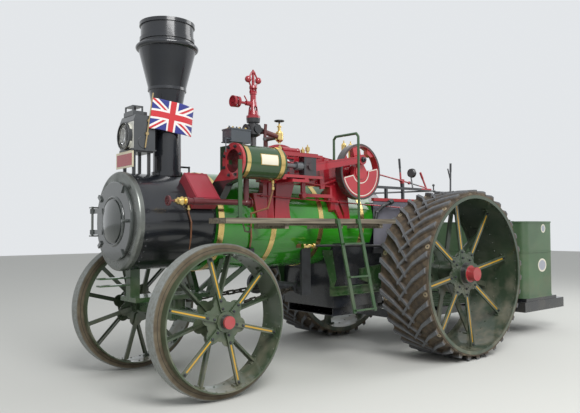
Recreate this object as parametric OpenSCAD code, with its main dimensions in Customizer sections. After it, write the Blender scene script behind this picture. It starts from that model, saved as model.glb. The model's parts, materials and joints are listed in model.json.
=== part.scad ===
// Steam traction engine with a side-mounted cylinder, in millimetres.
// The frame runs +X to the front, +Y to the engine's left and +Z up from the ground.
// Sizes along X count from the rear axle; the model is then centred on its own length.

/* [Rear wheels] */
// Radius of a rear wheel's steel rim
rear_rim_r = 838; // [790:2:860]
// Height of the rubber lugs and their base above the rim
lug_rise = 59; // [45:1:75]
// Thickness of the rubber band that the lugs stand on
tyre_base = 15; // [10:1:22]
// Width of a rear rim
rear_rim_w = 610; // [560:5:680]
// Distance from the middle of the engine to a rear rim's outer edge
rear_face_y = 1308; // [1260:2:1360]
// Thickness of a rear rim's plate
rear_rim_wall = 14; // [10:1:20]
// Number of lugs on each half of a rear tyre
lug_count = 34; // [26:1:40]
// Spokes in each of a rear wheel's two rows
rear_spokes = 8; // [6:1:10]
// Radius of a rear hub's barrel
rear_hub_r = 128; // [110:1:140]

/* [Front wheels] */
// Distance between the front and the rear axle
wheelbase = 2899; // [2850:1:2960]
// Radius of a front wheel's steel rim
front_rim_r = 568; // [540:1:590]
// Rise of the guide ring round a front rim
ring_rise = 67; // [50:1:75]
// Width of the guide ring
ring_w = 116; // [90:1:140]
// Width of a front rim
front_rim_w = 264; // [230:1:280]
// Distance from the middle of the engine to a front rim's outer edge
front_face_y = 892; // [880:1:910]
// Thickness of a front rim's plate
front_rim_wall = 12; // [9:1:16]
// Spokes in each of a front wheel's two rows
front_spokes = 6; // [5:1:8]
// Radius of a front hub's barrel
front_hub_r = 84; // [76:1:96]

/* [Axles] */
// Radius of the rear axle
rear_axle_r = 62; // [56:1:70]
// Radius of the front axle's stubs
front_axle_r = 36; // [32:1:42]
// Radial clearance of a shaft that turns
run_fit = 0.06; // [0.02:0.01:0.1]
// Radius of the steering pin
king_pin_r = 38; // [32:1:44]

/* [Boiler] */
// Height of the boiler's middle above the ground
boiler_z = 1460; // [1440:1:1480]
// Outer radius of the barrel's green lagging
lagging_r = 460; // [450:1:470]
// Front end of the lagging
lagging_front = 2705; // [2690:1:2720]
// Rear end of the lagging, over the firebox
lagging_rear = 700; // [650:1:760]
// Width of a brass band
band_w = 60; // [40:1:70]
// Radius of the smokebox
smokebox_r = 423; // [415:1:430]
// Front face of the smokebox ring
smokebox_front_x = 3458; // [3440:1:3480]
// Plate thickness of the smokebox
smokebox_wall = 14; // [10:1:20]
// Radius of the smokebox door
door_r = 343; // [330:1:350]

/* [Firebox] */
// Rear face of the firebox, the backhead
backhead_x = 500; // [480:1:560]
// Front face of the firebox, the throat
throat_x = 1250; // [1230:1:1270]
// Half width of the firebox below the barrel
firebox_half = 400; // [390:1:410]
// Bottom of the firebox
firebox_bottom = 560; // [540:1:600]
// Width of the water space round the fire
water_leg = 90; // [70:1:110]

/* [Chimney] */
// Distance of the chimney from the rear axle
chimney_x = 2968; // [2950:1:2985]
// Radius of the chimney pipe
pipe_r = 127; // [118:1:135]
// Height of the whole chimney above the ground
chimney_top = 3279; // [3240:1:3310]

/* [Engine] */
// Distance of the cylinder's middle line from the middle of the engine
engine_y = 680; // [670:1:690]
// Height of the cylinder and of the crankshaft
engine_z = 1975; // [1970:1:1985]
// Radius of the cylinder's lagging
cylinder_r = 148; // [140:1:155]
// Front end of the cylinder
cylinder_front = 2707; // [2690:1:2720]
// Rear end of the cylinder
cylinder_rear = 2240; // [2220:1:2260]
// Distance of the crankshaft from the rear axle
crank_x = 1074; // [1060:1:1090]
// Radius of the crank disc
disc_r = 290; // [280:1:300]
// Throw of the crank pin
crank_throw = 122; // [110:1:130]
// Angle of the crank pin forward of straight up, as in the photograph
crank_turn = 13; // [0:1:20]
// Radius of the crankshaft
crankshaft_r = 44; // [38:1:46]
// Radius of the flywheel
flywheel_r = 425; // [400:1:430]

/* [Gears] */
// Pitch of the teeth, as the gears' module
gear_module = 16; // [15:0.5:16.5]
// Teeth on the axle's gear and on the idler
wheel_teeth = 62; // [60:1:63]
// Teeth on the crankshaft's pinion
pinion_teeth = 16; // [15:1:18]
// Width of a gear
gear_w = 90; // [70:1:100]

/* [Running gear] */
// Height of the running board's top
board_top = 1480; // [1460:1:1500]
// Thickness of the running board's plank
board_t = 45; // [35:1:60]
// Outer edge of the running board
board_y = 950; // [900:1:980]
// Front end of the running board
board_front = 2960; // [2900:5:3000]
// Height of the grey side sheets' red top rail
sheet_top = 1722; // [1700:1:1740]
// Height of the driver's platform
platform_z = 470; // [450:1:500]
// Rear end of the platform
platform_rear = -2660; // [-2700:1:-2620]
// Front face of the water tank
tank_front = -1690; // [-1720:1:-1660]
// Rear face of the water tank
tank_rear = -2420; // [-2450:1:-2390]
// Half width of the water tank
tank_half = 900; // [860:1:940]
// Height of the water tank's top
tank_top = 1470; // [1430:1:1500]
// Front end of the hitch
hitch_front = 3617; // [3600:1:3640]
// Radius of the pin holes in both hitches
hitch_hole_r = 20; // [16:1:24]

/* [Hidden] */
$fn = 64;

// Gap between two pieces that seat on each other, and between two that move past each other
seat = 0.3;
move_gap = 6;

drawbar_reach = 110;
drawbar_rear = platform_rear - drawbar_reach;
mid_x = (hitch_front + drawbar_rear) / 2;
axle_z = rear_rim_r + lug_rise;
front_axle_z = front_rim_r + ring_rise;
firebox_r = lagging_r - 4 - seat;
barrel_start = throat_x + seat;
deck_r = smokebox_r - smokebox_wall;

cast_black = "#26282b";
gloss_green = "#2f8a1f";
dark_green = "#1f4a26";
engine_red = "#a8222c";
brass = "#c9a54a";
steel = "#8a8d90";
rubber = "#4d4a46";
timber = "#5d584c";

// Everything is drawn from the rear axle forward and then centred on the model's length.
module place() translate([-mid_x, 0, 0]) children();

// Copies a left-hand piece to the right-hand side.
module right_side() mirror([0, 1, 0]) children();

// A cylinder along X from x0 to x1, and one along Y from y0 to y1.
module along_x(x0, x1, r) translate([x0, 0, 0]) rotate([0, 90, 0]) cylinder(h = x1 - x0, r = r);
module along_y(y0, y1, r) translate([0, y0, 0]) rotate([-90, 0, 0]) cylinder(h = y1 - y0, r = r);

// The same as tubes, with an outer and an inner radius.
module tube_x(x0, x1, r, bore) difference() {
    along_x(x0, x1, r);
    along_x(x0 - 1, x1 + 1, bore);
}
module tube_y(y0, y1, r, bore) difference() {
    along_y(y0, y1, r);
    along_y(y0 - 1, y1 + 1, bore);
}

// A round rod from point p to point q.
module rod(p, q, r) {
    d = q - p;
    translate(p) rotate([0, acos(d[2] / norm(d)), atan2(d[1], d[0])]) cylinder(h = norm(d), r = r);
}

// A flat bar from point p to point q, with width w across and thickness t.
module bar(p, q, w, t) {
    d = q - p;
    translate(p) rotate([0, acos(d[2] / norm(d)), atan2(d[1], d[0])])
        translate([-w / 2, -t / 2, 0]) cube([w, t, norm(d)]);
}

// A pipe through a list of points, with a ball fitting at each bend.
module pipe(points, r, ball = 1.15) {
    for (i = [0 : len(points) - 2]) rod(points[i], points[i + 1], r);
    for (i = [1 : 1 : len(points) - 2]) translate(points[i]) sphere(r = r * ball);
}

// A box between two opposite corners.
module block(low, high) translate(low) cube(high - low);

// An outline in X and Z given a thickness from y0 to y1, and one in Y and Z from x0 to x1.
module on_xz(y0, y1) translate([0, y1, 0]) rotate([90, 0, 0]) linear_extrude(y1 - y0) children();
module on_yz(x0, x1) translate([x0, 0, 0]) rotate([90, 0, 90]) linear_extrude(x1 - x0) children();

// A turned piece standing at a point, from rows of radius and height.
module turned(at, rows) translate(at) rotate_extrude() polygon(concat([[0, rows[0][1]]], rows,
    [[0, rows[len(rows) - 1][1]]]));

// What seats on the boiler is cut back to its lagging, its bands and its smokebox.
module boiler_cut($fn = 144) translate([0, 0, boiler_z]) {
    along_x(lagging_rear, lagging_front + seat, lagging_r + seat);
    for (x = band_x) along_x(x - band_w / 2 - 2, x + band_w / 2 + 2, lagging_r + 4 + seat);
    along_x(lagging_front, smokebox_front_x, smokebox_r + seat);
}

// Boiler
module boiler() color(gloss_green) translate([0, 0, boiler_z]) difference() {
    union() {
        along_x(barrel_start, lagging_front, lagging_r);
        tube_x(lagging_rear, barrel_start + 1, lagging_r, firebox_r + seat);
    }
    block([lagging_rear - 1, -firebox_half - seat, -lagging_r - 1],
        [barrel_start, firebox_half + seat, 0]);
}

band_front = lagging_front - band_w / 2;
band_x = [band_front, 2078, 1470, 872];
module boiler_bands() translate([0, 0, boiler_z]) difference() {
    for (x = band_x) tube_x(x - band_w / 2, x + band_w / 2, lagging_r + 4, lagging_r + seat);
    block([lagging_rear, -firebox_half - seat, -lagging_r - 5],
        [barrel_start, firebox_half + seat, 0]);
}
// Smokebox
ring_depth = 58;
ring_x = smokebox_front_x - ring_depth;
door_opening_r = door_r - 30;
module smokebox() color(cast_black) difference() {
    translate([0, 0, boiler_z]) tube_x(lagging_front + seat, ring_x, smokebox_r, deck_r);
    translate([chimney_x, 0, boiler_z]) cylinder(h = smokebox_r + 10, r = pipe_r - 12);
}

ring_round = 26;
ring_r = smokebox_r + 8;
door_pin_out = 34;
door_pin_side = 12;
hinge_y = -(smokebox_r + door_pin_side);
hinge_x = smokebox_front_x + door_pin_out;
hinge_pin_r = 11;
eye_r = 22;
eye_half = 22;
strap_rise = 95;
module smokebox_ring() color("#6d7072") {
    translate([ring_x + seat, 0, boiler_z]) rotate([0, 90, 0]) rotate_extrude() {
        translate([door_opening_r, 0]) square([ring_r - door_opening_r, ring_depth - ring_round]);
        translate([door_opening_r, 0]) square([ring_r - ring_round - door_opening_r, ring_depth]);
        translate([ring_r - ring_round, ring_depth - ring_round]) circle(r = ring_round);
    }
    for (s = [-1, 1]) translate([0, 0, boiler_z + s * (strap_rise + eye_half + 12)])
        block([ring_x + 24, hinge_y - eye_r, -6], [hinge_x + eye_r, hinge_y + 40, 6]);
    translate([hinge_x, hinge_y, boiler_z - strap_rise - eye_half - 14])
        cylinder(h = 2 * (strap_rise + eye_half + 18), r = hinge_pin_r);
}

// Smokebox door with its two straps, hung on a pin at the engine's right
door_t = 26;
door_x = smokebox_front_x + 2;
hinge_z = [boiler_z + strap_rise, boiler_z - strap_rise];
module smokebox_door() color("#6d7072") {
    translate([door_x, 0, boiler_z]) rotate([0, 90, 0]) rotate_extrude() {
        square([door_r, door_t - 8]);
        square([door_r - 8, door_t]);
        translate([door_r - 8, door_t - 8]) circle(r = 8);
        translate([208, door_t]) circle(r = 12);
        square([190, door_t + 12]);
        intersection() {
            translate([0, -650 + 42]) circle(r = 676, $fn = 120);
            translate([0, door_t]) square([186, 60]);
        }
    }
    for (z = hinge_z) difference() {
        union() {
            block([door_x + door_t - 6, hinge_y, z - eye_half], [door_x + door_t + 6, -door_r + 120, z + eye_half]);
            translate([hinge_x, hinge_y, z - eye_half]) cylinder(h = eye_half * 2, r = eye_r);
        }
        translate([hinge_x, hinge_y, z - 30]) cylinder(h = 60, r = hinge_pin_r + run_fit);
    }
    for (a = [-142, -55, 55, 142]) translate([0, 0, boiler_z]) rotate([a, 0, 0])
        block([door_x + door_t - 2, door_r - 45, -16], [door_x + door_t + 14, door_r + 26, 16]);
    translate([door_x + door_t, door_r - 70, boiler_z]) along_x(0, 46, 14);
    rod([door_x + door_t + 38, door_r - 70, boiler_z], [door_x + door_t + 38, door_r - 82, boiler_z - 120], 8);
}

// Closed red tin strapped to the shell, leaning with it
tin_lean = 46.8;
tin_side = [-102, 221];
tin_x = [2731, 2970];
tin_out = 520;
module tool_tin() color(engine_red) difference() {
    translate([0, 0, boiler_z]) rotate([-tin_lean, 0, 0]) difference() {
        union() {
            block([tin_x[0], tin_side[0], lagging_r - 70], [tin_x[1], tin_side[1], tin_out - 5]);
            block([tin_x[0] + 8, tin_side[0] + 8, tin_out - 6], [tin_x[1] - 8, tin_side[1] - 8, tin_out]);
            for (x = [tin_x[0] + 40, tin_x[1] - 62])
                block([x, tin_side[0] - 4, lagging_r - 30], [x + 22, tin_side[0] + 1, tin_out - 1]);
        }
        block([tin_x[0] + 18, tin_side[0] + 18, tin_out - 3], [tin_x[1] - 18, tin_side[1] - 18, tin_out + 1]);
    }
    boiler_cut();
}

// Firebox
fire_hole_r = 150;
fire_hole_z = 1230;
fire_top = boiler_z - 60;
module firebox_profile() {
    circle(r = firebox_r, $fn = 128);
    translate([firebox_bottom - boiler_z, -firebox_half])
        square([boiler_z - firebox_bottom, firebox_half * 2]);
}

fire_door_t = 16;
fire_door_x = backhead_x - 2 - fire_door_t;
fire_hinge_x = fire_door_x - 4;
fire_hinge_y = -(fire_hole_r + 62);
module firebox() color(cast_black) {
    firebox_shell();
    for (s = [-1, 1]) block([fire_hinge_x - 16, fire_hinge_y - 16, fire_hole_z + s * 90 - 6],
        [backhead_x + 5, fire_hinge_y + 16, fire_hole_z + s * 90 + 6]);
    translate([fire_hinge_x, fire_hinge_y, fire_hole_z - 96]) cylinder(h = 192, r = 8);
    ash_pan();
}
module firebox_shell() difference() {
    translate([backhead_x, 0, boiler_z]) rotate([0, 90, 0]) mirror([1, 0, 0])
        linear_extrude(throat_x - backhead_x) firebox_profile();
    block([backhead_x + water_leg, water_leg - firebox_half, firebox_bottom - 1],
        [throat_x - water_leg, firebox_half - water_leg, fire_top]);
    translate([0, 0, fire_hole_z]) along_x(backhead_x - 1, backhead_x + water_leg + 1, fire_hole_r);
}

module fire_door() color("#3a3b3d") difference() {
    union() {
        translate([0, 0, fire_hole_z]) along_x(fire_door_x, fire_door_x + fire_door_t, fire_hole_r + 25);
        for (z = [-60, 60]) {
            block([fire_door_x - 8, fire_hinge_y, fire_hole_z + z - 16],
                [fire_door_x + 2, fire_hole_r * 0.6, fire_hole_z + z + 16]);
            translate([fire_hinge_x, fire_hinge_y, fire_hole_z + z - 16]) cylinder(h = 32, r = 16);
        }
        translate([0, fire_hole_r - 20, fire_hole_z]) along_x(fire_door_x - 60, fire_door_x, 9);
    }
    translate([fire_hinge_x, fire_hinge_y, fire_hole_z - 100]) cylinder(h = 200, r = 8 + run_fit);
}

// Ash pan below the grate, open at the front
ash_bottom = 470;
ash_wall = 8;
ash_inset = 30;
module ash_pan() difference() {
    block([backhead_x + ash_inset, ash_inset + 10 - firebox_half, ash_bottom],
        [throat_x - ash_inset, firebox_half - ash_inset - 10, firebox_bottom - seat]);
    block([backhead_x + ash_inset + ash_wall, ash_inset + 10 + ash_wall - firebox_half, ash_bottom + ash_wall],
        [throat_x - ash_inset + 1, firebox_half - ash_inset - 10 - ash_wall, firebox_bottom]);
}

// Grey side sheets beside the driver's place, each with a red top rail and a post on the axle's plate
sheet_y = lagging_r + 3;
sheet_t = 6;
sheet_rear = -300;
sheet_low = 1120;
rail_drop = 34;
module side_sheet() {
    block([sheet_rear, sheet_y, sheet_low], [lagging_rear - seat, sheet_y + sheet_t, sheet_top - 1]);
    block([sheet_rear, sheet_y - 24, sheet_top - rail_drop], [lagging_rear - seat, sheet_y + sheet_t + 8, sheet_top]);
    for (x = [sheet_rear, 60]) block([x, sheet_y - 26, sheet_low - 1], [x + 40, sheet_y + 1, sheet_top - rail_drop + 1]);
    block([sheet_rear, sheet_y - 12, sheet_low - 6], [lagging_rear - seat, sheet_y + sheet_t, sheet_low + 34]);
    block([120, firebox_half + axle_plate + 2 * seat, axle_z + 75], [160, sheet_y + sheet_t, sheet_low]);
}
module side_sheets() color("#6a6b72") {
    side_sheet();
    right_side() side_sheet();
}

// Chimney
pipe_wall = 9;
collar_z = 2490;
cone_z = 2655;
roll_z = 3051;
cone_r = [pipe_r + 8, 165, 262];
cap_r = 240;
foot_hook = 232;
foot_hook_z = 1968;
module flare(z0, z1, r0, r1, wall) translate([0, 0, z0]) rotate_extrude()
    polygon([[r0 - wall, 0], [r0, 0], [r1, z1 - z0], [r1 - wall, z1 - z0]]);
module hoop(z, r, h, wall) translate([0, 0, z - h / 2]) rotate_extrude()
    translate([r - wall, 0]) square([wall, h]);
module chimney() color("#2b2d2f") difference() {
    translate([chimney_x, 0, 0]) {
        hoop((boiler_z + collar_z) / 2, pipe_r, collar_z - boiler_z, pipe_wall);
        hoop(boiler_z + smokebox_r + 6, pipe_r + 14, 40, 20);
        flare(collar_z - 1, cone_z, cone_r[0], cone_r[1], pipe_wall + 8);
        hoop(cone_z + 12, cone_r[1] + 10, 26, 24);
        flare(cone_z, roll_z - 12, cone_r[1], cone_r[2], pipe_wall);
        translate([0, 0, roll_z]) rotate_extrude() translate([cone_r[2], 0]) circle(r = 24);
        hoop((roll_z + chimney_top) / 2, cap_r, chimney_top - roll_z, 22);
        hoop(roll_z + 70, cap_r + 10, 34, 14);
        hoop(chimney_top - 16, cap_r + 12, 32, 30);
        pipe([[3 - pipe_r, 0, foot_hook_z], [-foot_hook, 0, foot_hook_z], [-foot_hook, 0, foot_hook_z - 100]], 9, 1.3);
    }
    translate([0, 0, boiler_z]) along_x(lagging_front, smokebox_front_x, smokebox_r + seat);
}

// Headlamp: a body with a sloping roof, an open vent on top, a lens in its rim and a round side door
lamp_low = 2073;
lamp_side_top = 2335;
lamp_front = smokebox_front_x - 92;
lamp_length = 206;
lamp_rear = lamp_front - lamp_length;
lamp_half = 136;
lens_z = 2206;
lens_r = 122;
cap_x = [lamp_rear + 56, lamp_front - 16];
cap_half = 92;
cap_z = [2386, 2424, 2476];
module headlamp() color("#333538") {
    difference() {
        on_xz(-lamp_half, lamp_half) polygon([[lamp_rear, lamp_low], [lamp_front, lamp_low],
            [lamp_front, lamp_side_top], [cap_x[1] - 4, cap_z[0]], [cap_x[0] + 4, cap_z[0]], [lamp_rear, lamp_side_top]]);
        translate([0, 0, lens_z]) along_x(lamp_front - 30, lamp_front + 1, lens_r - 14);
    }
    translate([0, 0, lens_z]) tube_x(lamp_front - 1, lamp_front + 34, lens_r, lens_r - 9);
    translate([0, 0, lens_z]) along_x(lamp_front + 6, lamp_front + 14, lens_r - 8);
    block([cap_x[0], -cap_half, cap_z[0] - 1], [cap_x[1], cap_half, cap_z[1]]);
    difference() {
        block([cap_x[0] + 30, 14 - cap_half, cap_z[1] - 1], [cap_x[1] - 4, cap_half - 14, cap_z[2]]);
        block([cap_x[0] + 42, -cap_half, cap_z[1] + 6], [cap_x[1] - 16, cap_half, cap_z[2] - 10]);
        block([cap_x[0], 26 - cap_half, cap_z[1] + 6], [cap_x[1], cap_half - 26, cap_z[2] - 10]);
    }
    for (s = [-1, 1]) translate([lamp_rear + 108, 0, 2150]) {
        tube_y(s * (lamp_half + 2) - 3, s * (lamp_half + 2) + 3, 54, 44);
        along_y(s * (lamp_half + 1) - 2, s * (lamp_half + 1) + 2, 45);
    }
    block([lamp_rear - 10, -lamp_half - 3, lamp_low + 4], [lamp_front + 3, lamp_half + 3, lamp_low + 16]);
}

module lamp_bracket() color(cast_black) {
    lamp_shelf();
    flag_stick();
}
module lamp_shelf() difference() {
    union() {
        block([lamp_rear + 10, 14 - lamp_half, lamp_low - 12], [lamp_front + 12, lamp_half - 14, lamp_low - seat]);
        for (x = [lamp_rear + 24, lamp_front - 40]) for (y = [-90, 90])
            block([x, y - 9, boiler_z + 300], [x + 26, y + 9, lamp_low - 8]);
        block([lamp_front + 12, -165, 1925], [lamp_front + 20, 165, lamp_low - 8]);
        for (y = [-120, 120]) block([lamp_front, y - 12, 1935], [lamp_front + 13, y + 12, lamp_low - 6]);
    }
    translate([0, 0, boiler_z]) along_x(lagging_front, smokebox_front_x, smokebox_r + seat);
}

// Flag on a stick beside the lamp
stick_y = lamp_half + 12;
stick_low = [lamp_front - 104, stick_y, 2090];
stick_high = [lamp_front - 180, stick_y, 2590];
stick_r = 6;
flag_t = 16;
module flag_stick() {
    rod(stick_low, stick_high, stick_r);
    for (t = [0.27, 0.5]) translate(stick_low + t * (stick_high - stick_low))
        block([-14, -12 + seat, -10], [14, 4, 10]);
}
module flag() color("#9a3040") translate([0, stick_y + stick_r + seat + flag_t, 0]) rotate([90, 0, 0])
    linear_extrude(flag_t) polygon([[3232, 2272], [3194, 2545], [3020, 2525], [2840, 2535],
        [2800, 2410], [2820, 2290], [3010, 2245]]);

// Cylinder with its lagging, flanges, valve chest and the cast foot below its front
flange_r = 158;
recess_r = 102;
recess_deep = 62;
flange_t = 26;
lagging_end = cylinder_front - 44;
gland_reach = 60;
chest_rear = cylinder_rear + 40;
chest_front = lagging_end - 40;
chest_top = engine_z + 150;
chest_y = [engine_y - 300, engine_y - 80];
module cylinder_at() translate([0, engine_y, engine_z]) children();
module cylinder_block() color(dark_green) difference() {
    union() {
        cylinder_at() {
            along_x(cylinder_front - flange_t, cylinder_front, flange_r);
            along_x(lagging_end + 4, cylinder_front - flange_t + 1, flange_r - 8);
            along_x(lagging_end + seat, lagging_end + 6, flange_r + 2);
            along_x(cylinder_rear, lagging_end + 1, cylinder_r);
            difference() {
                along_x(cylinder_rear - 26, cylinder_rear + 1, flange_r - 14);
                block([cylinder_rear - 27, -flange_r, -flange_r], [cylinder_rear + 2, chest_y[1] - engine_y, flange_r]);
            }
            along_x(cylinder_rear - gland_reach, cylinder_rear - 25, 56);
            for (i = [0 : 7]) rotate([i * 45 + 22.5, 0, 0]) translate([0, 0, (flange_r + recess_r) / 2]) {
                along_x(cylinder_front - 1, cylinder_front + 12, 15);
                along_x(cylinder_front + 11, cylinder_front + 24, 8);
            }
        }
        block([chest_rear, chest_y[0], engine_z - 60], [chest_front, chest_y[1], chest_top]);
        for (x = [chest_rear, chest_front - 22]) block([x - 8, chest_y[0] - 10, engine_z - 70],
            [x + 30, chest_y[1], chest_top + 10]);
        difference() {
            on_yz(cylinder_front - 89, cylinder_front - 17) polygon([[engine_y - 20, engine_z - 60], [engine_y + 60, engine_z - 100],
                [engine_y + 20, engine_z - 160], [engine_y - 120, engine_z - 190], [430, engine_z - 330],
                [240, engine_z - 300], [300, engine_z - 200], [engine_y - 200, engine_z - 60]]);
            cylinder_at() along_x(cylinder_rear, lagging_end + seat, cylinder_r + 4 + seat);
        }
    }
    cylinder_at() along_x(cylinder_front - recess_deep, cylinder_front + 1, recess_r);
    boiler_cut();
}

// Engine frame: the girder from the cylinder to the crankshaft, and its supports on the boiler
girder_y = [engine_y - 250, engine_y - 180];
girder_end = chest_rear - 8 - seat;
girder_rise = 100;
girder_high = 140;
girder_drop = 150;
pad_y = lagging_r + 24;
foot_y = lagging_r - 40;
module engine_frame() color(engine_red) {
    difference() {
        union() {
            on_xz(girder_y[0], girder_y[1]) difference() {
                polygon([[crank_x - 110, engine_z - 130], [crank_x - 110, engine_z + girder_rise],
                    [crank_x + 110, engine_z + girder_rise], [crank_x + 420, engine_z + girder_high],
                    [girder_end, engine_z + girder_high], [girder_end, engine_z - girder_drop],
                    [1800, engine_z - 160], [crank_x + 300, engine_z - 170]]);
                translate([1960, engine_z - 5]) square([200, 190], center = true);
                translate([1600, engine_z - 10]) square([180, 150], center = true);
            }
            for (x = [1890, cylinder_rear - 80]) block([x, girder_y[1] - 1, engine_z - girder_drop + 14],
                [x + 44, engine_y + 62, engine_z - guide_gap - guide_t / 2 - seat]);
            block([1880, girder_y[1] - 1, engine_z - girder_drop - 4], [2085, engine_y + 62, engine_z - girder_drop + 22]);
            on_xz(foot_y, pad_y) {
                polygon([[1253, engine_z - 110], [1393, engine_z - 130], [1393, 1680], [1330, 1640],
                    [1225, board_top], [1165, board_top], [1253, 1640]]);
                polygon([[1130, engine_z - 110], [1252, engine_z - 110], [1252, 1700], [1164, board_top + 60],
                    [1164, board_top], [1080, board_top]]);
                polygon([[1843, engine_z - 140], [2068, engine_z - 140], [2092, board_top], [1960, board_top]]);
                polygon([[1925, 1700], [1960, board_top + 70], [1950, board_top], [1890, board_top], [1900, board_top + 30]]);
                polygon([[2115, engine_z - 140], [2225, engine_z - 140], [2250, board_top], [2100, board_top]]);
                polygon([[2224, 1720], [2345, 1720], [2330, 1660], [2290, board_top], [2251, board_top], [2232, 1680]]);
            }
            on_yz(2115, 2175) polygon([[240, engine_z - 250], [girder_y[1], engine_z - 150], [pad_y, board_top],
                [foot_y, board_top]]);
            on_yz(1300, 1360) polygon([[240, engine_z - 250], [girder_y[1], engine_z - 140], [pad_y, board_top + 100],
                [foot_y, board_top + 60]]);
            rod([1800, pump_y, pump_z], [1975, pump_y, pump_z], 27);
            translate([1775, pump_y, pump_z]) sphere(r = 30);
            block([1830, pump_y - 14, engine_z + girder_high - 1], [1860, pump_y + 14, pump_z]);
            block([1925, pump_y - 14, engine_z + girder_high - 1], [1955, pump_y + 14, pump_z]);
        }
        translate([crank_x, 0, engine_z]) along_y(girder_y[0] - 1, girder_y[1] + 1, crankshaft_r + seat);
        boiler_cut();
    }
    difference() {
        on_xz(bearing_y - 35, bearing_y + 35) polygon([[crank_x - 130, boiler_z + 140], [crank_x + 130, boiler_z + 140],
            [crank_x + 70, engine_z - 60], [crank_x + 70, engine_z + 75], [crank_x - 70, engine_z + 75],
            [crank_x - 70, engine_z - 60]]);
        translate([crank_x, 0, engine_z]) along_y(bearing_y - 40, bearing_y + 40, crankshaft_r + seat);
        boiler_cut();
    }
}
guide_gap = 100;
guide_t = 26;
guide_top = guide_gap + guide_t / 2 + 16;
pump_y = girder_y[0] + 20;
pump_z = engine_z + girder_high + 38;

// Guide bars, piston rod and crosshead
crosshead_x = 1830;
guide_rear = 1690;
guide_front = cylinder_rear - 26 - seat;
module guide_bars() color(steel) cylinder_at() {
    for (s = [0, 1]) mirror([0, 0, s]) {
        block([guide_rear, -45, guide_gap - guide_t / 2], [guide_front, 45, guide_gap + guide_t / 2]);
        block([guide_rear, girder_y[1] - engine_y + seat, guide_gap - 20], [guide_rear + 50, -44, guide_gap + 20]);
    }
    block([guide_rear + 30, -12, guide_gap], [guide_front - 60, 12, guide_top]);
    along_x(crosshead_x + 60, cylinder_rear - gland_reach - seat, 22);
    along_x(crosshead_x + 70, crosshead_x + 170, 40);
    block([crosshead_x - 60, -38, seat + guide_t / 2 - guide_gap],
        [crosshead_x + 90, 38, guide_gap - guide_t / 2 - seat]);
    translate([crosshead_x + 15, 0, 0]) along_y(37, 56, 34);
}

// Valve gear behind the connecting rod, its hanging bell crank and the long reversing rod
gear_line = girder_y[1] + 30;
bell_x = 1775;
bell_z = [engine_z - 115, 1714];
reach_rod = [[2279, 1698], [258, 1620]];
reach_y = pad_y + 24;
valve_rod_z = sqrt(max(400, pow(cylinder_r + 19, 2) - pow(engine_y - gear_line, 2)));
module valve_gear() color(engine_red) difference() {
    union() {
        rod([1508, gear_line, engine_z + 8], [chest_rear - seat, gear_line, engine_z + valve_rod_z], 13);
        bar([1540, gear_line, engine_z + 30], [1520, gear_line, engine_z - 190], 56, 22);
        rod([1530, gear_line, engine_z - 150], [crank_x + 70, gear_line, engine_z - 40], 13);
        translate([crank_x, 0, engine_z]) tube_y(girder_y[1] + seat, gear_line + 18, 84, crankshaft_r + seat);
        bar([bell_x, gear_line, bell_z[0] - 10], [bell_x, gear_line, bell_z[1]], 46, 22);
        translate([bell_x, 0, bell_z[1]]) along_y(gear_line - 30, gear_line + 24, 30);
        block([1390, gear_line - 12, bell_z[1] - 16], [bell_x, gear_line + 12, bell_z[1] + 16]);
        rod([bell_x, gear_line, bell_z[0] - 20], [1390, gear_line, bell_z[0] - 50], 9);
        block([1394, girder_y[1] + seat, bell_z[1] - 20], [1420, gear_line + 12, engine_z - 155]);
        block([bell_x - 25, girder_y[1] + seat, bell_z[0] - 30], [bell_x + 25, gear_line + 12, bell_z[0] + 20]);
        rod([reach_rod[0][0], reach_y, reach_rod[0][1]], [reach_rod[1][0], reach_y, reach_rod[1][1]], 7);
        for (x = [2240, 1276]) translate([x, pad_y + seat, reach_rod[1][1] + (x - reach_rod[1][0]) * reach_slope])
            along_y(0, 26, 12);
        translate([270, 0, reach_rod[1][1]]) along_y(sheet_y + sheet_t + seat, reach_y, 10);
    }
    block([chest_rear - 8 - seat, 0, engine_z - 100], [chest_front, chest_y[1] + seat, chest_top]);
}
reach_slope = (reach_rod[0][1] - reach_rod[1][1]) / (reach_rod[0][0] - reach_rod[1][0]);

// Crank disc with open arms above and a solid weight below
disc_y = [engine_y - 112, engine_y - 36];
disc_rim = 24;
pin_at = [crank_throw * sin(crank_turn), crank_throw * cos(crank_turn)];
pin_r = 30;
module crank_disc() color(engine_red) translate([crank_x, 0, engine_z]) rotate([0, crank_turn, 0]) {
    tube_y(girder_y[1] + 60, disc_y[1], disc_r, disc_r - disc_rim);
    along_y(disc_y[0] - 6, disc_y[1], 76);
    difference() {
        along_y(disc_y[0] + 10, disc_y[1] - 12, disc_r - disc_rim + 2);
        for (s = [-1, 1]) translate([0, disc_y[1] + 1, 0]) rotate([90, 0, 0])
            linear_extrude(disc_y[1] - disc_y[0] + 2) polygon([[s * 46, 112], [s * 92, 6], [s * 100, -12],
                [s * 300, -12], [s * 300, 120], [s * 190, 120], [s * 150, 160], [s * 190, 320], [s * 58, 320]]);
    }
    difference() {
        along_y(disc_y[1] - 13, disc_y[1] - 3, disc_r - disc_rim + 1);
        block([-disc_r, disc_y[0], -20], [disc_r, disc_y[1] + 1, disc_r]);
        along_y(disc_y[0], disc_y[1] + 1, 112);
    }
    translate([0, 0, crank_throw]) along_y(disc_y[1] - 20, engine_y + 22, pin_r);
    translate([0, 0, crank_throw]) along_y(disc_y[0] - 4, disc_y[1], 58);
}

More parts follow.
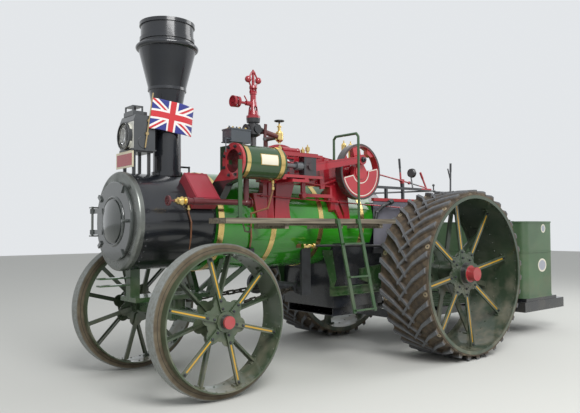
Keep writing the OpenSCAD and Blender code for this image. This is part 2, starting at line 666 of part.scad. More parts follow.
// Connecting rod from the crank pin to the crosshead, a flat bar with raised edges
rod_y = [engine_y - 30, engine_y + 14];
module connecting_rod() color(engine_red) difference() {
    pin = [crank_x + pin_at[0], engine_z + pin_at[1]];
    end_x = crosshead_x - 60 - seat;
    union() {
        on_xz(rod_y[0], rod_y[1]) polygon([[pin[0], pin[1] - 34], [pin[0], pin[1] + 34],
            [end_x, engine_z + 42], [end_x, engine_z - 42]]);
        on_xz(rod_y[0] - 3, rod_y[1] + 5) for (s = [-1, 1]) polygon([[pin[0] + 40, pin[1] + s * 33],
            [pin[0] + 40, pin[1] + s * 21], [end_x - 1, engine_z + s * 29], [end_x - 1, engine_z + s * 41]]);
        translate([pin[0], 0, pin[1]]) along_y(rod_y[0], rod_y[1] + 4, 52);
    }
    translate([pin[0], 0, pin[1]]) along_y(rod_y[0] - 10, rod_y[1] + 20, pin_r + seat);
}

// Crankshaft with its two bearings
shaft_y = [-880, disc_y[0] - 6 - seat];
shaft_collar = 64;
bearing_y = -430;
module crankshaft() color(steel) translate([crank_x, 0, engine_z]) {
    along_y(shaft_y[0], shaft_y[1], crankshaft_r);
    for (y = [bearing_y + 42, girder_y[0] - 34]) along_y(y, y + 26, shaft_collar);
}

// Flywheel on the right-hand end of the crankshaft
flywheel_y = [-860, -670];
module flywheel() color(engine_red) translate([crank_x, 0, engine_z]) {
    tube_y(flywheel_y[0], flywheel_y[1], flywheel_r, flywheel_r - 34);
    tube_y(flywheel_y[0] + 30, flywheel_y[1] - 10, 84, crankshaft_r + seat);
    for (i = [0 : 5]) rotate([0, i * 60, 0])
        block([-26, flywheel_y[0] + 70, 80], [26, flywheel_y[1] - 70, flywheel_r - 32]);
}

// Gear train from the crankshaft to the rear axle
pitch_of = function (teeth) teeth * gear_module / 2;
gear_mesh = 4;
wheel_reach = pitch_of(wheel_teeth) * 2 + gear_mesh;
pinion_reach = pitch_of(wheel_teeth) + pitch_of(pinion_teeth) + gear_mesh;
crank_far = norm([crank_x, engine_z - axle_z]);
crank_angle = atan2(engine_z - axle_z, crank_x);
idler_turn = acos((wheel_reach ^ 2 + crank_far ^ 2 - pinion_reach ^ 2) / (2 * wheel_reach * crank_far));
idler_angle = crank_angle - idler_turn;
idler_at = [wheel_reach * cos(idler_angle), wheel_reach * sin(idler_angle) + axle_z];
gear_y = [-590, -590 + gear_w];

// One gear outline: straight-sided teeth, narrower than their gaps, first tooth at angle 0.
module gear_outline(teeth) {
    pitch_r = pitch_of(teeth);
    step = 360 / teeth;
    rows = [[-0.30, -1.15], [-0.13, 0.85], [0.13, 0.85], [0.30, -1.15]];
    polygon([for (i = [0 : teeth - 1]) for (row = rows)
        let (a = (i + row[0]) * step, r = pitch_r + row[1] * gear_module) [r * cos(a), r * sin(a)]]);
}
module gear(teeth, turn, hub_r, bore, web_r) {
    translate([0, gear_y[1], 0]) rotate([90, 0, 0]) linear_extrude(gear_w) difference() {
        rotate(turn) gear_outline(teeth);
        circle(r = web_r);
    }
    tube_y(gear_y[0], gear_y[1], hub_r, bore);
}
module gear_arms(r0, r1) for (i = [0 : 5]) rotate([0, i * 60, 0])
    block([-30, gear_y[0] + 24, r0], [30, gear_y[1] - 24, r1]);
module gear_train() color("#3b3d3f") {
    web_r = pitch_of(wheel_teeth) - 60;
    translate([0, 0, axle_z]) {
        gear(wheel_teeth, idler_angle, 130, rear_axle_r + seat, web_r);
        gear_arms(126, web_r + 3);
    }
    to_crank = atan2(engine_z - idler_at[1], crank_x - idler_at[0]);
    turn_idler = 180 + idler_angle + 180 / wheel_teeth;
    translate([idler_at[0], 0, idler_at[1]]) {
        gear(wheel_teeth, turn_idler, 80, 40, web_r);
        gear_arms(76, web_r + 3);
    }
    difference() {
        translate([idler_at[0], 0, idler_at[1]]) along_y(gear_y[0] - 20, 60 - lagging_r, 39.8);
        boiler_cut();
    }
    steps_off = (to_crank - turn_idler) / (360 / wheel_teeth);
    tooth_off = steps_off - floor(steps_off);
    turn_pinion = to_crank + 180 + (tooth_off + 0.5) * 360 / pinion_teeth;
    translate([crank_x, 0, engine_z]) gear(pinion_teeth, turn_pinion, crankshaft_r + 20,
        crankshaft_r + seat, crankshaft_r + 10);
}

// Governor on its valve, above the cylinder
governor_x = 2390;
governor_y = engine_y - 130;
governor_z = 2395;
pulley_z = 2527;
pulley_x = 2575;
ball_z = 2750;
module governor() color(engine_red) translate([governor_x, governor_y, 0]) {
    difference() {
        turned([0, 0, governor_z], [[64, 0], [64, 22], [50, 30], [46, 60], [27, 170], [27, 216], [32, 220], [32, 240], [20, 250]]);
        for (a = [0, 90]) rotate(a) block([-70, -17, governor_z + 66], [70, 17, governor_z + 106]);
    }
    rotate_extrude() polygon([[0, 2600], [15, 2600], [15, 2660], [38, 2672], [36, 2690], [14, 2700], [12, 2800],
        [22, 2812], [22, 2822], [9, 2834], [9, 2842], [0, 2846]]);
    for (s = [-1, 1]) {
        translate([s * 56, 0, ball_z]) sphere(r = 31);
        rod([s * 16, 0, 2816], [s * 56, 0, ball_z], 8);
        rod([s * 24, 0, 2682], [s * 56, 0, ball_z], 8);
        block([s * 26 - 7, -9, 2640], [s * 26 + 7, 9, 2684]);
    }
    block([-34, -12, 2626], [34, 12, 2646]);
    translate([0, 0, pulley_z]) {
        along_x(20, pulley_x - governor_x + 46, 12);
        along_x(22, 84, 21);
        along_x(pulley_x - governor_x - 22, pulley_x - governor_x + 20, 19);
        tube_x(pulley_x - governor_x - 22, pulley_x - governor_x + 4, 50, 40);
        for (i = [0 : 4]) rotate([i * 72, 0, 0])
            block([pulley_x - governor_x - 16, -5, 16], [pulley_x - governor_x - 2, 5, 42]);
        tube_x(pulley_x - governor_x + 22, pulley_x - governor_x + 46, 52, 42);
        along_x(pulley_x - governor_x + 30, pulley_x - governor_x + 38, 43);
    }
    rod([60, 0, pulley_z + 6], [100, 0, pulley_z + 66], 6);
}

// Lubricator box with its row of feeds, and the hanging ratchet rod
lube_low = engine_z + 172;
lube_x = [2500, 2706];
lube_y = [engine_y - 160, engine_y - 20];
lube_h = 122;
module lubricator() color("#4c5054") difference() {
    union() {
        block([lube_x[0], lube_y[0], lube_low], [lube_x[1], lube_y[1], lube_low + lube_h]);
        block([lube_x[0] - 5, lube_y[0] - 5, lube_low + lube_h - 14], [lube_x[1] + 5, lube_y[1] + 5, lube_low + lube_h - 4]);
        block([lube_x[0] - 12, lube_y[0], lube_low], [lube_x[1] + 12, lube_y[1], lube_low + 8]);
        for (x = [lube_x[0] + 24 : 39 : lube_x[1] - 20]) turned([x, (lube_y[0] + lube_y[1]) / 2, lube_low + lube_h - 1],
            [[12, 0], [12, 14], [7, 18], [7, 26]]);
        rod([lube_x[1] + 38, lube_y[1] - 30, lube_low + 24], [lube_x[1] + 44, lube_y[1] - 20, lube_low - 96], 5);
        rod([lube_x[1] - 10, lube_y[1] - 30, lube_low + 24], [lube_x[1] + 44, lube_y[1] - 30, lube_low + 24], 9);
        block([lube_x[0] + 60, lube_y[0] + 40, engine_z + 60], [lube_x[0] + 120, lube_y[0] + 100, lube_low + 1]);
    }
    cylinder_at() along_x(cylinder_rear, cylinder_front, flange_r + 2 + seat);
    block([chest_rear, 0, 0], [chest_front + 8 + seat, chest_y[1] + seat, chest_top + 10 + seat]);
}

// Steam pipe from the throttle to the governor's valve, and the exhaust down and forward
throttle_x = 2085;
steam_z = 2257;
exhaust_x = 2500;
exhaust_y = engine_y - 90;
exhaust_z = 1622;
exhaust_end = 3110;
exhaust_r = 25;
chest_pipe_z = chest_top + seat;
throttle_low = steam_z - 62;
throttle_h = 182;
riser_y = 340;
wheel_spokes = 5;
module steam_pipe() color("#3a2c2e") {
    translate([governor_x, governor_y, 0]) {
        rotate_extrude() polygon([[0, chest_pipe_z], [52, chest_pipe_z], [52, chest_pipe_z + 12], [27, chest_pipe_z + 14],
            [27, 2222], [66, 2244], [66, 2336], [44, 2344], [44, 2352], [60, 2356],
            [64, governor_z - seat], [0, governor_z - seat]]);
        translate([0, 0, 2290]) {
            along_y(0, 78, 38);
            along_x(-96, 0, 30);
            along_x(0, 84, 34);
            along_x(84, 92, 46);
        }
        translate([0, 0, 2290]) along_x(91, 104, 20);
        bar([-100, 40, 2200], [-112, 40, 2350], 26, 14);
        rod([-112, 40, 2300], [-40, 20, 2300], 8);
    }
    difference() {
        union() {
            rod([governor_x - 95, governor_y, 2290], [throttle_x + 30, governor_y, steam_z], 24);
            pipe([[throttle_x, governor_y - 30, steam_z], [throttle_x, riser_y, steam_z], [throttle_x, riser_y, boiler_z]],
                23, 1.2);
        }
        translate([throttle_x, governor_y, throttle_low]) cylinder(h = 120, r = 37 + seat);
        boiler_cut();
    }
    translate([throttle_x, governor_y, throttle_low + throttle_h + seat]) {
        turned([0, 0, 0], [[8, 0], [8, 22], [15, 24], [15, 36]]);
        translate([0, 0, 28]) rotate_extrude() translate([42, 0]) circle(r = 7);
        for (i = [0 : wheel_spokes - 1]) rotate(i * 360 / wheel_spokes) rod([10, 0, 30], [42, 0, 28], 5);
    }
    difference() {
        union() {
            pipe([[exhaust_x, exhaust_y, engine_z - 60], [exhaust_x, exhaust_y, exhaust_z], [exhaust_end, exhaust_y, exhaust_z]],
                exhaust_r, 1.25);
            translate([0, exhaust_y, exhaust_z]) {
                along_x(exhaust_x - 44, exhaust_x - 34, 46);
                along_x(exhaust_x - 36, exhaust_x, 30);
                along_x(exhaust_end - 160, exhaust_end - 60, 31);
                along_x(exhaust_end - 16, exhaust_end, 34);
            }
        }
        cylinder_at() along_x(cylinder_rear, cylinder_front, cylinder_r + seat);
        block([chest_rear, 0, engine_z - 60 - seat], [chest_front, chest_y[1] + seat, chest_top]);
    }
    translate([exhaust_end + 112 + 2 * seat, exhaust_y, exhaust_z]) {
        along_x(0, 64, 8);
        tube_x(50, 64, 42, 31);
        for (i = [0 : wheel_spokes - 1]) rotate([i * 360 / wheel_spokes, 0, 0]) block([51, -4.5, 4], [62, 4.5, 34]);
    }
}

// Copper and iron pipes: feed, drain, smokebox cock and the elbow on the side sheet
feed_y = 486;
drain_h = 84;
feed_z = 1218;
clack_x = 1745;
drain = [[2236, 640], [2262, 600], [2380, 500], [2362, 474], [2345, 453], [2325, 402]];
drain_top = engine_z - sqrt((cylinder_r + 4) ^ 2 - (engine_y - drain[0][1] - 15) ^ 2);
drain_heights = [drain_top - drain_h + 1, 1578, 1530, 1422, 1313, 1204];
cock_x = 2992;
cock_y = 428.6;
cock_z = 1552;
module feed_pipes() color("#a8683c") {
    difference() {
        union() {
            rod([clack_x - 156 - seat, feed_y, feed_z], [573, feed_y, feed_z - 22], 13);
            translate([573, 0, feed_z - 22]) along_y(sheet_y + sheet_t + seat, feed_y + 14, 24);
            pipe([[760, 400, 1440], [760, elbow_y, 1440], [730, elbow_y, 1560], [630, elbow_y, 1630],
                [510, elbow_y, 1672]], 20, 1.18);
            rod([525, elbow_y, 1666], [476, elbow_y, 1684], 30);
            pipe([for (i = [0 : 5]) [drain[i][0], drain[i][1], drain_heights[i]]], 9);
            pipe([[cock_x, cock_y, cock_z - seat], [cock_x, cock_y, cock_z - 22], [2972, 440, 1450], [2955, 404, 1320], [2935, 340, 1215]], 7);
            block([2268, 380, 1150], [2400, 398, 1206]);
            rod([clack_x - 20, 330, feed_z], [clack_x - 20, feed_y - 24.5, feed_z], 21);
        }
        boiler_cut();
        translate([drain[0][0], drain[0][1], drain_top - drain_h]) cylinder(h = drain_h, r = 16);
        translate([clack_x, feed_y, feed_z]) rotate([0, -90, 0]) cylinder(h = 156, r = 26 + seat);
    }
}
elbow_y = 542;

// Brass: boiler bands, cylinder bands and bare plate, oilers and valves
module brass_trim() color(brass) {
    boiler_bands();
    cylinder_brass();
    for (x = [crank_x - 30, crank_x + 70]) turned([x, oiler_y, engine_z + girder_rise + seat], tall_oiler);
    for (x = [1718, 2010]) turned([x, oiler_y, engine_z + girder_high + seat], short_oiler);
    turned([crosshead_x + 15, engine_y, engine_z + guide_top + seat], short_oiler);
    turned([throttle_x, governor_y, throttle_low], throttle_rows);
    translate([exhaust_end + seat, exhaust_y, exhaust_z]) rotate([0, 90, 0]) turned([0, 0, 0], valve_rows);
    turned([cock_x, cock_y, cock_z], [[9, 0], [16, 3], [16, 20], [10, 24], [10, 40], [17, 43], [17, 52]]);
    translate([clack_x, feed_y, feed_z]) rotate([0, -90, 0]) turned([0, 0, 0], clack_rows);
    turned([drain[0][0], drain[0][1], drain_top - drain_h], [[7, 0], [15, 4], [15, 30], [9, 34], [9, 58],
        [15, 62], [15, drain_h - seat]]);
}
cylinder_band_w = 46;
name_plate = [[2318, -33], [2512, 65]];
module cylinder_brass() cylinder_at() {
    difference() {
        for (x = [cylinder_rear, lagging_end - cylinder_band_w])
            tube_x(x, x + cylinder_band_w, cylinder_r + 4, cylinder_r + seat);
        block([cylinder_rear - 1, chest_y[0] - engine_y, -80], [lagging_end + 1, chest_y[1] - engine_y + seat, 170]);
    }
    intersection() {
        tube_x(name_plate[0][0], name_plate[1][0], cylinder_r + 5, cylinder_r + seat);
        block([name_plate[0][0], 0, name_plate[0][1]], [name_plate[1][0], cylinder_r + 6, name_plate[1][1]]);
    }
}
oiler_y = (girder_y[0] + girder_y[1]) / 2;
tall_oiler = [[14, 0], [14, 60], [25, 64], [27, 190], [20, 205], [7, 212], [7, 236]];
short_oiler = [[12, 0], [12, 16], [20, 20], [22, 54], [12, 62], [5, 68], [5, 82]];
throttle_rows = [[16, 0], [16, 10], [30, 18], [37, 30], [37, 92], [30, 108], [15, 116], [15, 150], [22, 153],
    [22, 162], [9, 164], [9, throttle_h]];
valve_rows = [[20, 0], [34, 5], [34, 16], [24, 20], [40, 44], [24, 68], [30, 74], [30, 84], [15, 92], [15, 112]];
clack_rows = [[26, 0], [26, 20], [16, 26], [24, 60], [24, 84], [14, 92], [14, 120], [28, 124], [28, 146], [12, 156]];

// Controls above the left side sheet: levers, rods and the pressure gauge
stand_y = 250;
stand_x = -60;
lever_y = 222;
gauge_at = [-290, 200, 2066];
module controls() color("#4a4c4e") difference() {
    union() {
        block([-600, stand_y - 14, 1850], [backhead_x + 60, stand_y + 14, 1880]);
        for (x = [stand_x, 240]) {
            block([x - 16, stand_y - 14, 1700], [x + 16, sheet_y - 24 - seat, sheet_top - 8]);
            block([x - 16, stand_y - 14, 1700], [x + 16, stand_y + 14, x == stand_x ? 1975 : 1860]);
        }
        bar([-70, lever_y, 1870], [-38, lever_y, 2204], 20, 12);
        rod([-47, lever_y, 2110], [-36, lever_y, 2225], 14);
        translate([-62, 0, 1960]) along_y(lever_y - 14, stand_y + 10, 15);
        translate([-560, 0, 1866]) along_y(lever_y - 14, stand_y + 10, 14);
        rod([-220, lever_y, 1940], [crank_x - 112.2, 457, 2034], 9);
        rod([-220, lever_y, 1940], [-545, lever_y, 1892], 8);
        translate([-220, 0, 1940]) along_y(lever_y - 12, lever_y + 12, 19);
        bar([-560, lever_y, 1868], [-445, lever_y, 2060], 20, 12);
        rod([-480, lever_y, 2002], [-434, lever_y, 2079], 14);
        rod([backhead_x + 60, stand_y, 1785], [-724, 225, 1861], 10);
        rod([-690, 228, 1860], [-690, 228, 1925], 8);
        translate([-690, 228, 1930]) sphere(r = 17);
        bar([-1050, 225, 1800], [-1062, 225, 2215], 22, 12);
        rod([-1059, 225, 2120], [-1063, 225, 2232], 14);
        rod([-1055, 225, 2010], [-1000, 225, 2160], 8);
        block([-1066, 214, 1838], [-700, 236, 1856]);
        rod(gauge_at + [8, 0, -46], [-250, stand_y, 1875], 9);
        translate(gauge_at) along_x(-18, 18, 52);
        translate(gauge_at) tube_x(-25, -8, 57, 48);
    }
    translate([0, 0, boiler_z]) along_x(backhead_x - seat, lagging_rear, firebox_r + seat);
}

// Running board with its brackets and the rope hook below, then the ladder, the handrail and the lamp post
board_inner = 700;
board_brackets = [1080, 1640, 2300];
hook_points = [[2700, 820, 1436], [2680, 822, 1370], [2640, 824, 1362], [2620, 824, 1400], [2660, 822, 1420]];
module running_board() color(timber) {
    block([900, board_inner, board_top - board_t], [board_front, board_y, board_top]);
    difference() {
        for (x = board_brackets) block([x - 20, 380, board_top - board_t - 46], [x + 20, board_y - 30, board_top - board_t + 1]);
        translate([0, 0, boiler_z]) along_x(lagging_rear, lagging_front, lagging_r + seat);
    }
    rod([1100, board_y - 60, board_top - board_t - 10], [2600, board_y - 60, board_top - board_t - 10], 9);
    pipe(hook_points, 7, 1.05);
}

ladder_lean = 6.3;
ladder_drop = 880;
ladder_x = [[1727, 1612], [1455, 1340]];
ladder_w = 36;
ladder_t = 14;
module ladder_and_rails() color(dark_green) {
    translate([0, board_y + seat, board_top]) {
        for (x = ladder_x) block([x[0] - 23, 0, -board_t], [x[0] + 23, 22, 0]);
        translate([0, 10, 0]) rotate([ladder_lean, 0, 0]) {
            for (x = ladder_x) on_xz(0, ladder_t) polygon([[x[0] - ladder_w / 2, -12], [x[0] + ladder_w / 2, -12],
                [x[1] + ladder_w / 2, -ladder_drop], [x[1] - ladder_w / 2, -ladder_drop]]);
            for (t = [0.27, 0.62, 0.97]) let (shift = t * (ladder_x[0][1] - ladder_x[0][0]))
                block([ladder_x[1][0] + shift, 1, -t * ladder_drop - 8], [ladder_x[0][0] + shift, 36, -t * ladder_drop + 8]);
        }
    }
    rail_y = [board_y - 30, girder_y[1] + 80];
    rail_end_z = engine_z + 76;
    pipe([[1400, rail_y[0], board_top + seat], [1400, rail_y[0], 2280], [1400, rail_y[0] - 28, 2312],
        [1400, rail_y[1] + 28, 2312], [1400, rail_y[1], 2284], [1400, rail_y[1], rail_end_z],
        [1400, girder_y[1] + seat, rail_end_z]], 13, 1.01);
    block([2762, board_y - 60, board_top + seat], [2800, board_y - 52, 1966]);
    block([2750, board_y - 70, board_top + seat], [2812, board_y - 30, board_top + 10]);
}

// Platform: steel channels, timber deck and the beam under the tank
deck_front = -300;
hitch_z = 350;
hitch_gap = 50;
hitch_plate = 12;
module clevis(x0, x1, z) for (side = [-1, 1])
    translate([0, 0, z + side * (hitch_gap + hitch_plate) / 2])
        block([x0, -38, -hitch_plate / 2], [x1, 38, hitch_plate / 2]);
// Open frame: side and end timbers, steel channels and a centre drawbar under a thin floor
beam = [300, 428];
beam_w = 120;
deck_t = 12;
deck_z = platform_z - 8;
module platform() color(cast_black) difference() {
    union() {
        for (s = [-1, 1]) {
            block([platform_rear, s * 850 - beam_w / 2, beam[0]], [tank_front + 40, s * 850 + beam_w / 2, beam[1] + 2]);
            block([tank_front - 10, s * 440 - 30, platform_z - 130], [300, s * 440 - 18, platform_z - 30]);
            block([tank_front - 10, s * 440 + 18, platform_z - 130], [300, s * 440 + 30, platform_z - 30]);
            block([tank_front - 10, s * 440 - 30, platform_z - 42], [300, s * 440 + 30, platform_z - 30]);
        }
        for (x = [platform_rear, tank_front - 80]) block([x, -850, beam[0]], [x + beam_w, 850, beam[1]]);
        for (x = [-1200, -700, 180]) block([x, -440, platform_z - 120], [x + 60, 440, platform_z - 31]);
        block([platform_rear + 10, -60, beam[0] + 6], [deck_front, 60, beam[1] - 4]);
        block([tank_front - 9, -560, deck_z - deck_t], [deck_front, 560, deck_z]);
        for (s = [-1, 1]) for (x = [tank_front + 60, -1000, deck_front - 80])
            block([x, s * 500 - 60, platform_z - 60], [x + 50, s * 500 + 55, deck_z - deck_t + 1]);
        block([tank_rear - 60, -tank_half, beam[1] - 1], [tank_front - 10, tank_half, platform_z]);
        clevis(drawbar_rear, platform_rear + 11, hitch_z);
    }
    translate([drawbar_rear + 45, 0, 200]) cylinder(h = 300, r = hitch_hole_r);
}

tank_bottom = platform_z + seat;
tank_wall = 8;
tank_round = 90;
module tank_plan(r) {
    w = tank_half * 2;
    l = tank_front - tank_rear;
    for (s = [-1, 1]) for (e = [0, 1])
        translate([tank_rear + tank_round + e * (l - 2 * tank_round), s * (tank_half - tank_round)]) circle(r = r);
    translate([tank_rear + tank_round - r, tank_round - tank_half])
        square([l - 2 * tank_round + 2 * r, w - 2 * tank_round]);
    translate([tank_rear + tank_round, tank_round - r - tank_half])
        square([l - 2 * tank_round, w - 2 * tank_round + 2 * r]);
}
filler_y = 300;
filler_at = [(tank_front + tank_rear) / 2, filler_y];
filler = 130;
lid_pin_rise = 18;
lid_pin_back = 44;
lid_hinge_z = tank_top + lid_pin_rise;
lid_hinge_x = filler_at[0] - filler - lid_pin_back;
module water_tank() color(dark_green) {
    tank_shell();
    for (s = [-1, 1]) block([lid_hinge_x - 9, filler_y + s * 72 - 6, tank_top - 1],
        [lid_hinge_x + 9, filler_y + s * 72 + 6, lid_hinge_z + 10]);
    translate([lid_hinge_x, filler_y, lid_hinge_z]) along_y(-78, 78, 6);
}
module tank_shell() difference() {
    union() {
        translate([0, 0, tank_bottom]) linear_extrude(tank_top - tank_bottom) tank_plan(tank_round);
        translate([0, 0, (tank_top + tank_bottom) / 2 + 90]) linear_extrude(18) tank_plan(tank_round + 6);
        translate([0, 0, tank_top - 22]) linear_extrude(22) tank_plan(tank_round + 6);
        translate([0, 0, tank_bottom]) linear_extrude(22) tank_plan(tank_round + 6);
    }
    translate([0, 0, tank_bottom + tank_wall]) linear_extrude(tank_top - tank_bottom - 2 * tank_wall)
        tank_plan(tank_round - tank_wall);
    block([filler_at[0] - filler, filler_at[1] - filler, tank_top - 30],
        [filler_at[0] + filler, filler_at[1] + filler, tank_top + 1]);
}
module tank_lid() color(dark_green) difference() {
    union() {
        block([filler_at[0] - filler - 20, filler_at[1] - filler - 20, tank_top + 1],
            [filler_at[0] + filler + 20, filler_at[1] + filler + 20, tank_top + 9]);
        translate([lid_hinge_x, filler_y, lid_hinge_z]) along_y(-58, 58, 12);
        block([lid_hinge_x, filler_y - 58, tank_top + 6.5], [filler_at[0] - filler - 19, filler_y + 58, tank_top + 14]);
        block([filler_at[0] + filler - 6, filler_y - 40, tank_top + 8], [filler_at[0] + filler + 6, filler_y + 40, tank_top + 24]);
    }
    translate([lid_hinge_x, filler_y, lid_hinge_z]) along_y(-80, 80, 6 + run_fit);
}

axle_plate = 30;
plate_y = firebox_half + seat;
rear_axle_end = rear_face_y - 48;
module rear_axle() color(dark_green) {
    translate([0, 0, axle_z]) along_y(-rear_axle_end, rear_axle_end, rear_axle_r);
    for (s = [0, 1]) mirror([0, s, 0]) {
        on_xz(plate_y, plate_y + axle_plate) polygon([[-130, axle_z + 90], [-60, axle_z + 140], [120, axle_z + 130],
            [860, axle_z + 60], [860, axle_z - 60], [300, axle_z - 240], [200, platform_z - 30 + seat],
            [-60, platform_z - 30 + seat], [-130, axle_z - 120]]);
        translate([0, 0, axle_z]) along_y(plate_y - 40, plate_y + axle_plate + 60, 104);
        block([548, plate_y, 690], [1302, plate_y + 12, 785]);
        block([548, plate_y, 773], [1302, plate_y + 46, 785]);
        block([548, plate_y, 690], [1302, plate_y + 46, 702]);
        difference() {
            on_xz(plate_y + 2, plate_y + 14) polygon([[1412, 1166], [1273, 1162], [1215, 860], [1250, 784],
                [1300, 784], [1310, 873]]);
            boiler_cut();
        }
    }
}

// Steering gear: chain drum in its hangers, worm and wheel, and two shafts back to the hand wheel
drum = [1600, 790];
drum_r = 46;
drum_half = 346;
hanger_y = 360;
worm_y = 465;
worm_wheel_r = 118;
worm_z = drum[1] + worm_wheel_r + 27;
shaft_joint = [480, -worm_y, 1010];
hand_wheel_at = [-420, -330, 1330];
hand_wheel_r = 190;
module steering_gear() color("#4a4c4e") {
    translate([drum[0], 0, drum[1]]) {
        along_y(-worm_y - 24, drum_half - seat, drum_r);
        along_y(-worm_y - 20, -worm_y + 20, worm_wheel_r);
        for (s = [-1, 1]) along_y(s * 255 - 8, s * 255 + 8, drum_r + 24);
    }
    difference() {
        for (s = [-1, 1]) block([drum[0] - 60, s * hanger_y - 14, drum[1] - 70],
            [drum[0] + 60, s * hanger_y + 14, boiler_z - 200]);
        boiler_cut();
        translate([drum[0], 0, drum[1]]) along_y(-hanger_y - 20, -drum_half + 6, drum_r + seat);
    }
    rod([drum[0] + 90, -worm_y, worm_z - 6], shaft_joint, 14);
    along_x_at([drum[0] - 60, -worm_y, worm_z], 120, 25);
    for (end = [[drum[0] + 90, -worm_y, worm_z - 6], hand_wheel_at]) {
        yoke = (end - shaft_joint) / norm(end - shaft_joint);
        rod(shaft_joint - yoke * 18, shaft_joint + yoke * 46, 22);
    }
    rod(shaft_joint, hand_wheel_at, 14);
    d = hand_wheel_at - shaft_joint;
    translate(hand_wheel_at) rotate([0, acos(d[2] / norm(d)), atan2(d[1], d[0])]) {
        translate([0, 0, -22]) cylinder(h = 44, r = 34);
        for (i = [0 : 4]) rotate(i * 72) block([20, -9, -8], [hand_wheel_r, 9, 8]);
        rotate_extrude() translate([hand_wheel_r, 0]) circle(r = 13);
    }
    difference() {
        block([880, -worm_y - 26, 900], [960, -firebox_half - seat, 1040]);
        rod([drum[0] + 90, -worm_y, worm_z - 6], shaft_joint, 14 + seat);
    }
}
module along_x_at(p, h, r) translate(p) rotate([0, 90, 0]) cylinder(h = h, r = r);

// Steering chains: eight-sided links, each turned a quarter from the last
link_t = 14;
link_count = 18;
chain_from = 200;
chain_to = 430;
module link(reach) rotate([90, 0, 0]) translate([0, 0, -link_t / 2]) linear_extrude(link_t) difference() {
    link_outline(reach / 2 + seat / 2 + link_t, 12 + link_t, 14);
    link_outline(reach / 2 + seat / 2, 12, 4);
}
module link_outline(l, w, c) polygon([[w, l - c], [w - c, l], [c - w, l], [-w, l - c], [-w, c - l], [c - w, -l],
    [w - c, -l], [w, c - l]]);
module steering_chains() color("#2e3033") difference() {
    for (s = [-1, 1]) {
        p = [drum[0], s * chain_from, drum[1] - 10];
        q = [wheelbase, s * chain_to, front_axle_z + 10];
        d = q - p;
        reach = norm(d) / link_count;
        for (i = [0 : link_count - 1]) translate(p + (i + 0.5) / link_count * d)
            rotate([0, acos(d[2] / norm(d)), atan2(d[1], d[0])]) rotate(i % 2 * 90 + 45) link(reach);
    }
    translate([drum[0], 0, drum[1]]) along_y(-drum_half, drum_half, drum_r + seat);
    block([wheelbase - axle_half_w - seat, -axle_half, front_axle_z - axle_half_w],
        [wheelbase + axle_half_w, axle_half, front_axle_z + axle_half_w + seat]);
}

// Perch bracket under the smokebox
perch_z = 800;
perch_hitch_z = 938;
perch_nose = smokebox_front_x - 113;
module perch() color(dark_green) difference() {
    union() {
        block([perch_nose - 90, -45, perch_z - 1], [perch_nose, 45, boiler_z - smokebox_r + 30]);
        for (s = [-1, 1]) bar([2585, s * 120, perch_z - 20], [2585, s * 300, boiler_z - 330], 70, 50);
        block([2540, -150, perch_z - 40], [perch_nose, 150, perch_z]);
        clevis(perch_nose - 45, hitch_front, perch_hitch_z);
        for (s = [-1, 1]) bar([2570, s * 130, perch_z - 22], [2160, s * 170, boiler_z - lagging_r + 60], 44, 22);
        for (x = [2700, 3070]) block([x, -170, perch_z - 70], [x + 40, 170, perch_z - 39]);
        translate([wheelbase, 0, front_axle_z - 80]) cylinder(h = perch_z - front_axle_z + 60, r = king_pin_r);
    }
    boiler_cut();
    translate([hitch_front - 45, 0, 850]) cylinder(h = 200, r = hitch_hole_r);
}

axle_half = front_face_y - front_rim_w - 40;
axle_half_w = 50;
front_cap_y = front_face_y + 25;
stub_end = front_cap_y - 40;
module front_axle() color(dark_green) difference() {
    union() {
        block([wheelbase - axle_half_w, -axle_half, front_axle_z - axle_half_w],
            [wheelbase + axle_half_w, axle_half, front_axle_z + axle_half_w]);
        translate([wheelbase, 0, front_axle_z - 60]) cylinder(h = perch_z - 40 - seat - front_axle_z + 60, r = 110);
        translate([wheelbase, 0, front_axle_z]) along_y(-stub_end, stub_end, front_axle_r);
    }
    translate([wheelbase, 0, front_axle_z - 100]) cylinder(h = 400, r = king_pin_r + run_fit);
}

// Wheels, drawn on the left with the axle along Y; each spoke ends in a foot along the rim
foot_reach = 46;
module spoke_row(count, y_hub, y_rim, r_hub, r_rim, w, t, phase) for (i = [0 : count - 1])
    rotate([0, phase + i * 360 / count, 0]) {
        bar([0, y_hub, r_hub], [0, y_rim, r_rim], w, t);
        block([-w * 0.85, y_rim - foot_reach, r_rim - 16], [w * 0.85, y_rim + t / 2, r_rim]);
    }
module hub_plate(count, y, t, r, lobe_r, phase) translate([0, y + t, 0]) rotate([90, 0, 0]) linear_extrude(t) {
    circle(r = r);
    for (i = [0 : count - 1]) rotate(90 - phase - i * 360 / count) translate([r - lobe_r * 0.25, 0]) circle(r = lobe_r);
}

front_inner_y = front_face_y - front_rim_w;
front_mid_y = front_face_y - front_rim_w / 2;
module front_place() translate([wheelbase, 0, front_axle_z]) children();
module front_ring() color("#6a5a4c") front_place()
    tube_y(front_mid_y - ring_w / 2, front_mid_y + ring_w / 2, front_axle_z, front_rim_r + seat);
module front_wheel() color(dark_green) front_place() difference() {
    union() {
        tube_y(front_inner_y, front_face_y, front_rim_r, front_rim_r - front_rim_wall);
        along_y(front_inner_y - 10, front_face_y - 30, front_hub_r);
        hub_plate(front_spokes, front_face_y - 65, 10, 165, 62, 15);
        hub_plate(front_spokes, front_inner_y + 55, 10, 165, 62, 45);
        spoke_row(front_spokes, front_face_y - 58, front_face_y - 75, 60, front_rim_r - front_rim_wall + 4, 40, 16, 15);
        spoke_row(front_spokes, front_inner_y + 58, front_inner_y + 75, 60, front_rim_r - front_rim_wall + 4, 40, 16, 45);
        along_y(front_face_y - 31, front_cap_y, 52);
    }
    along_y(front_inner_y - 20, stub_end + move_gap, front_axle_r + run_fit);
}

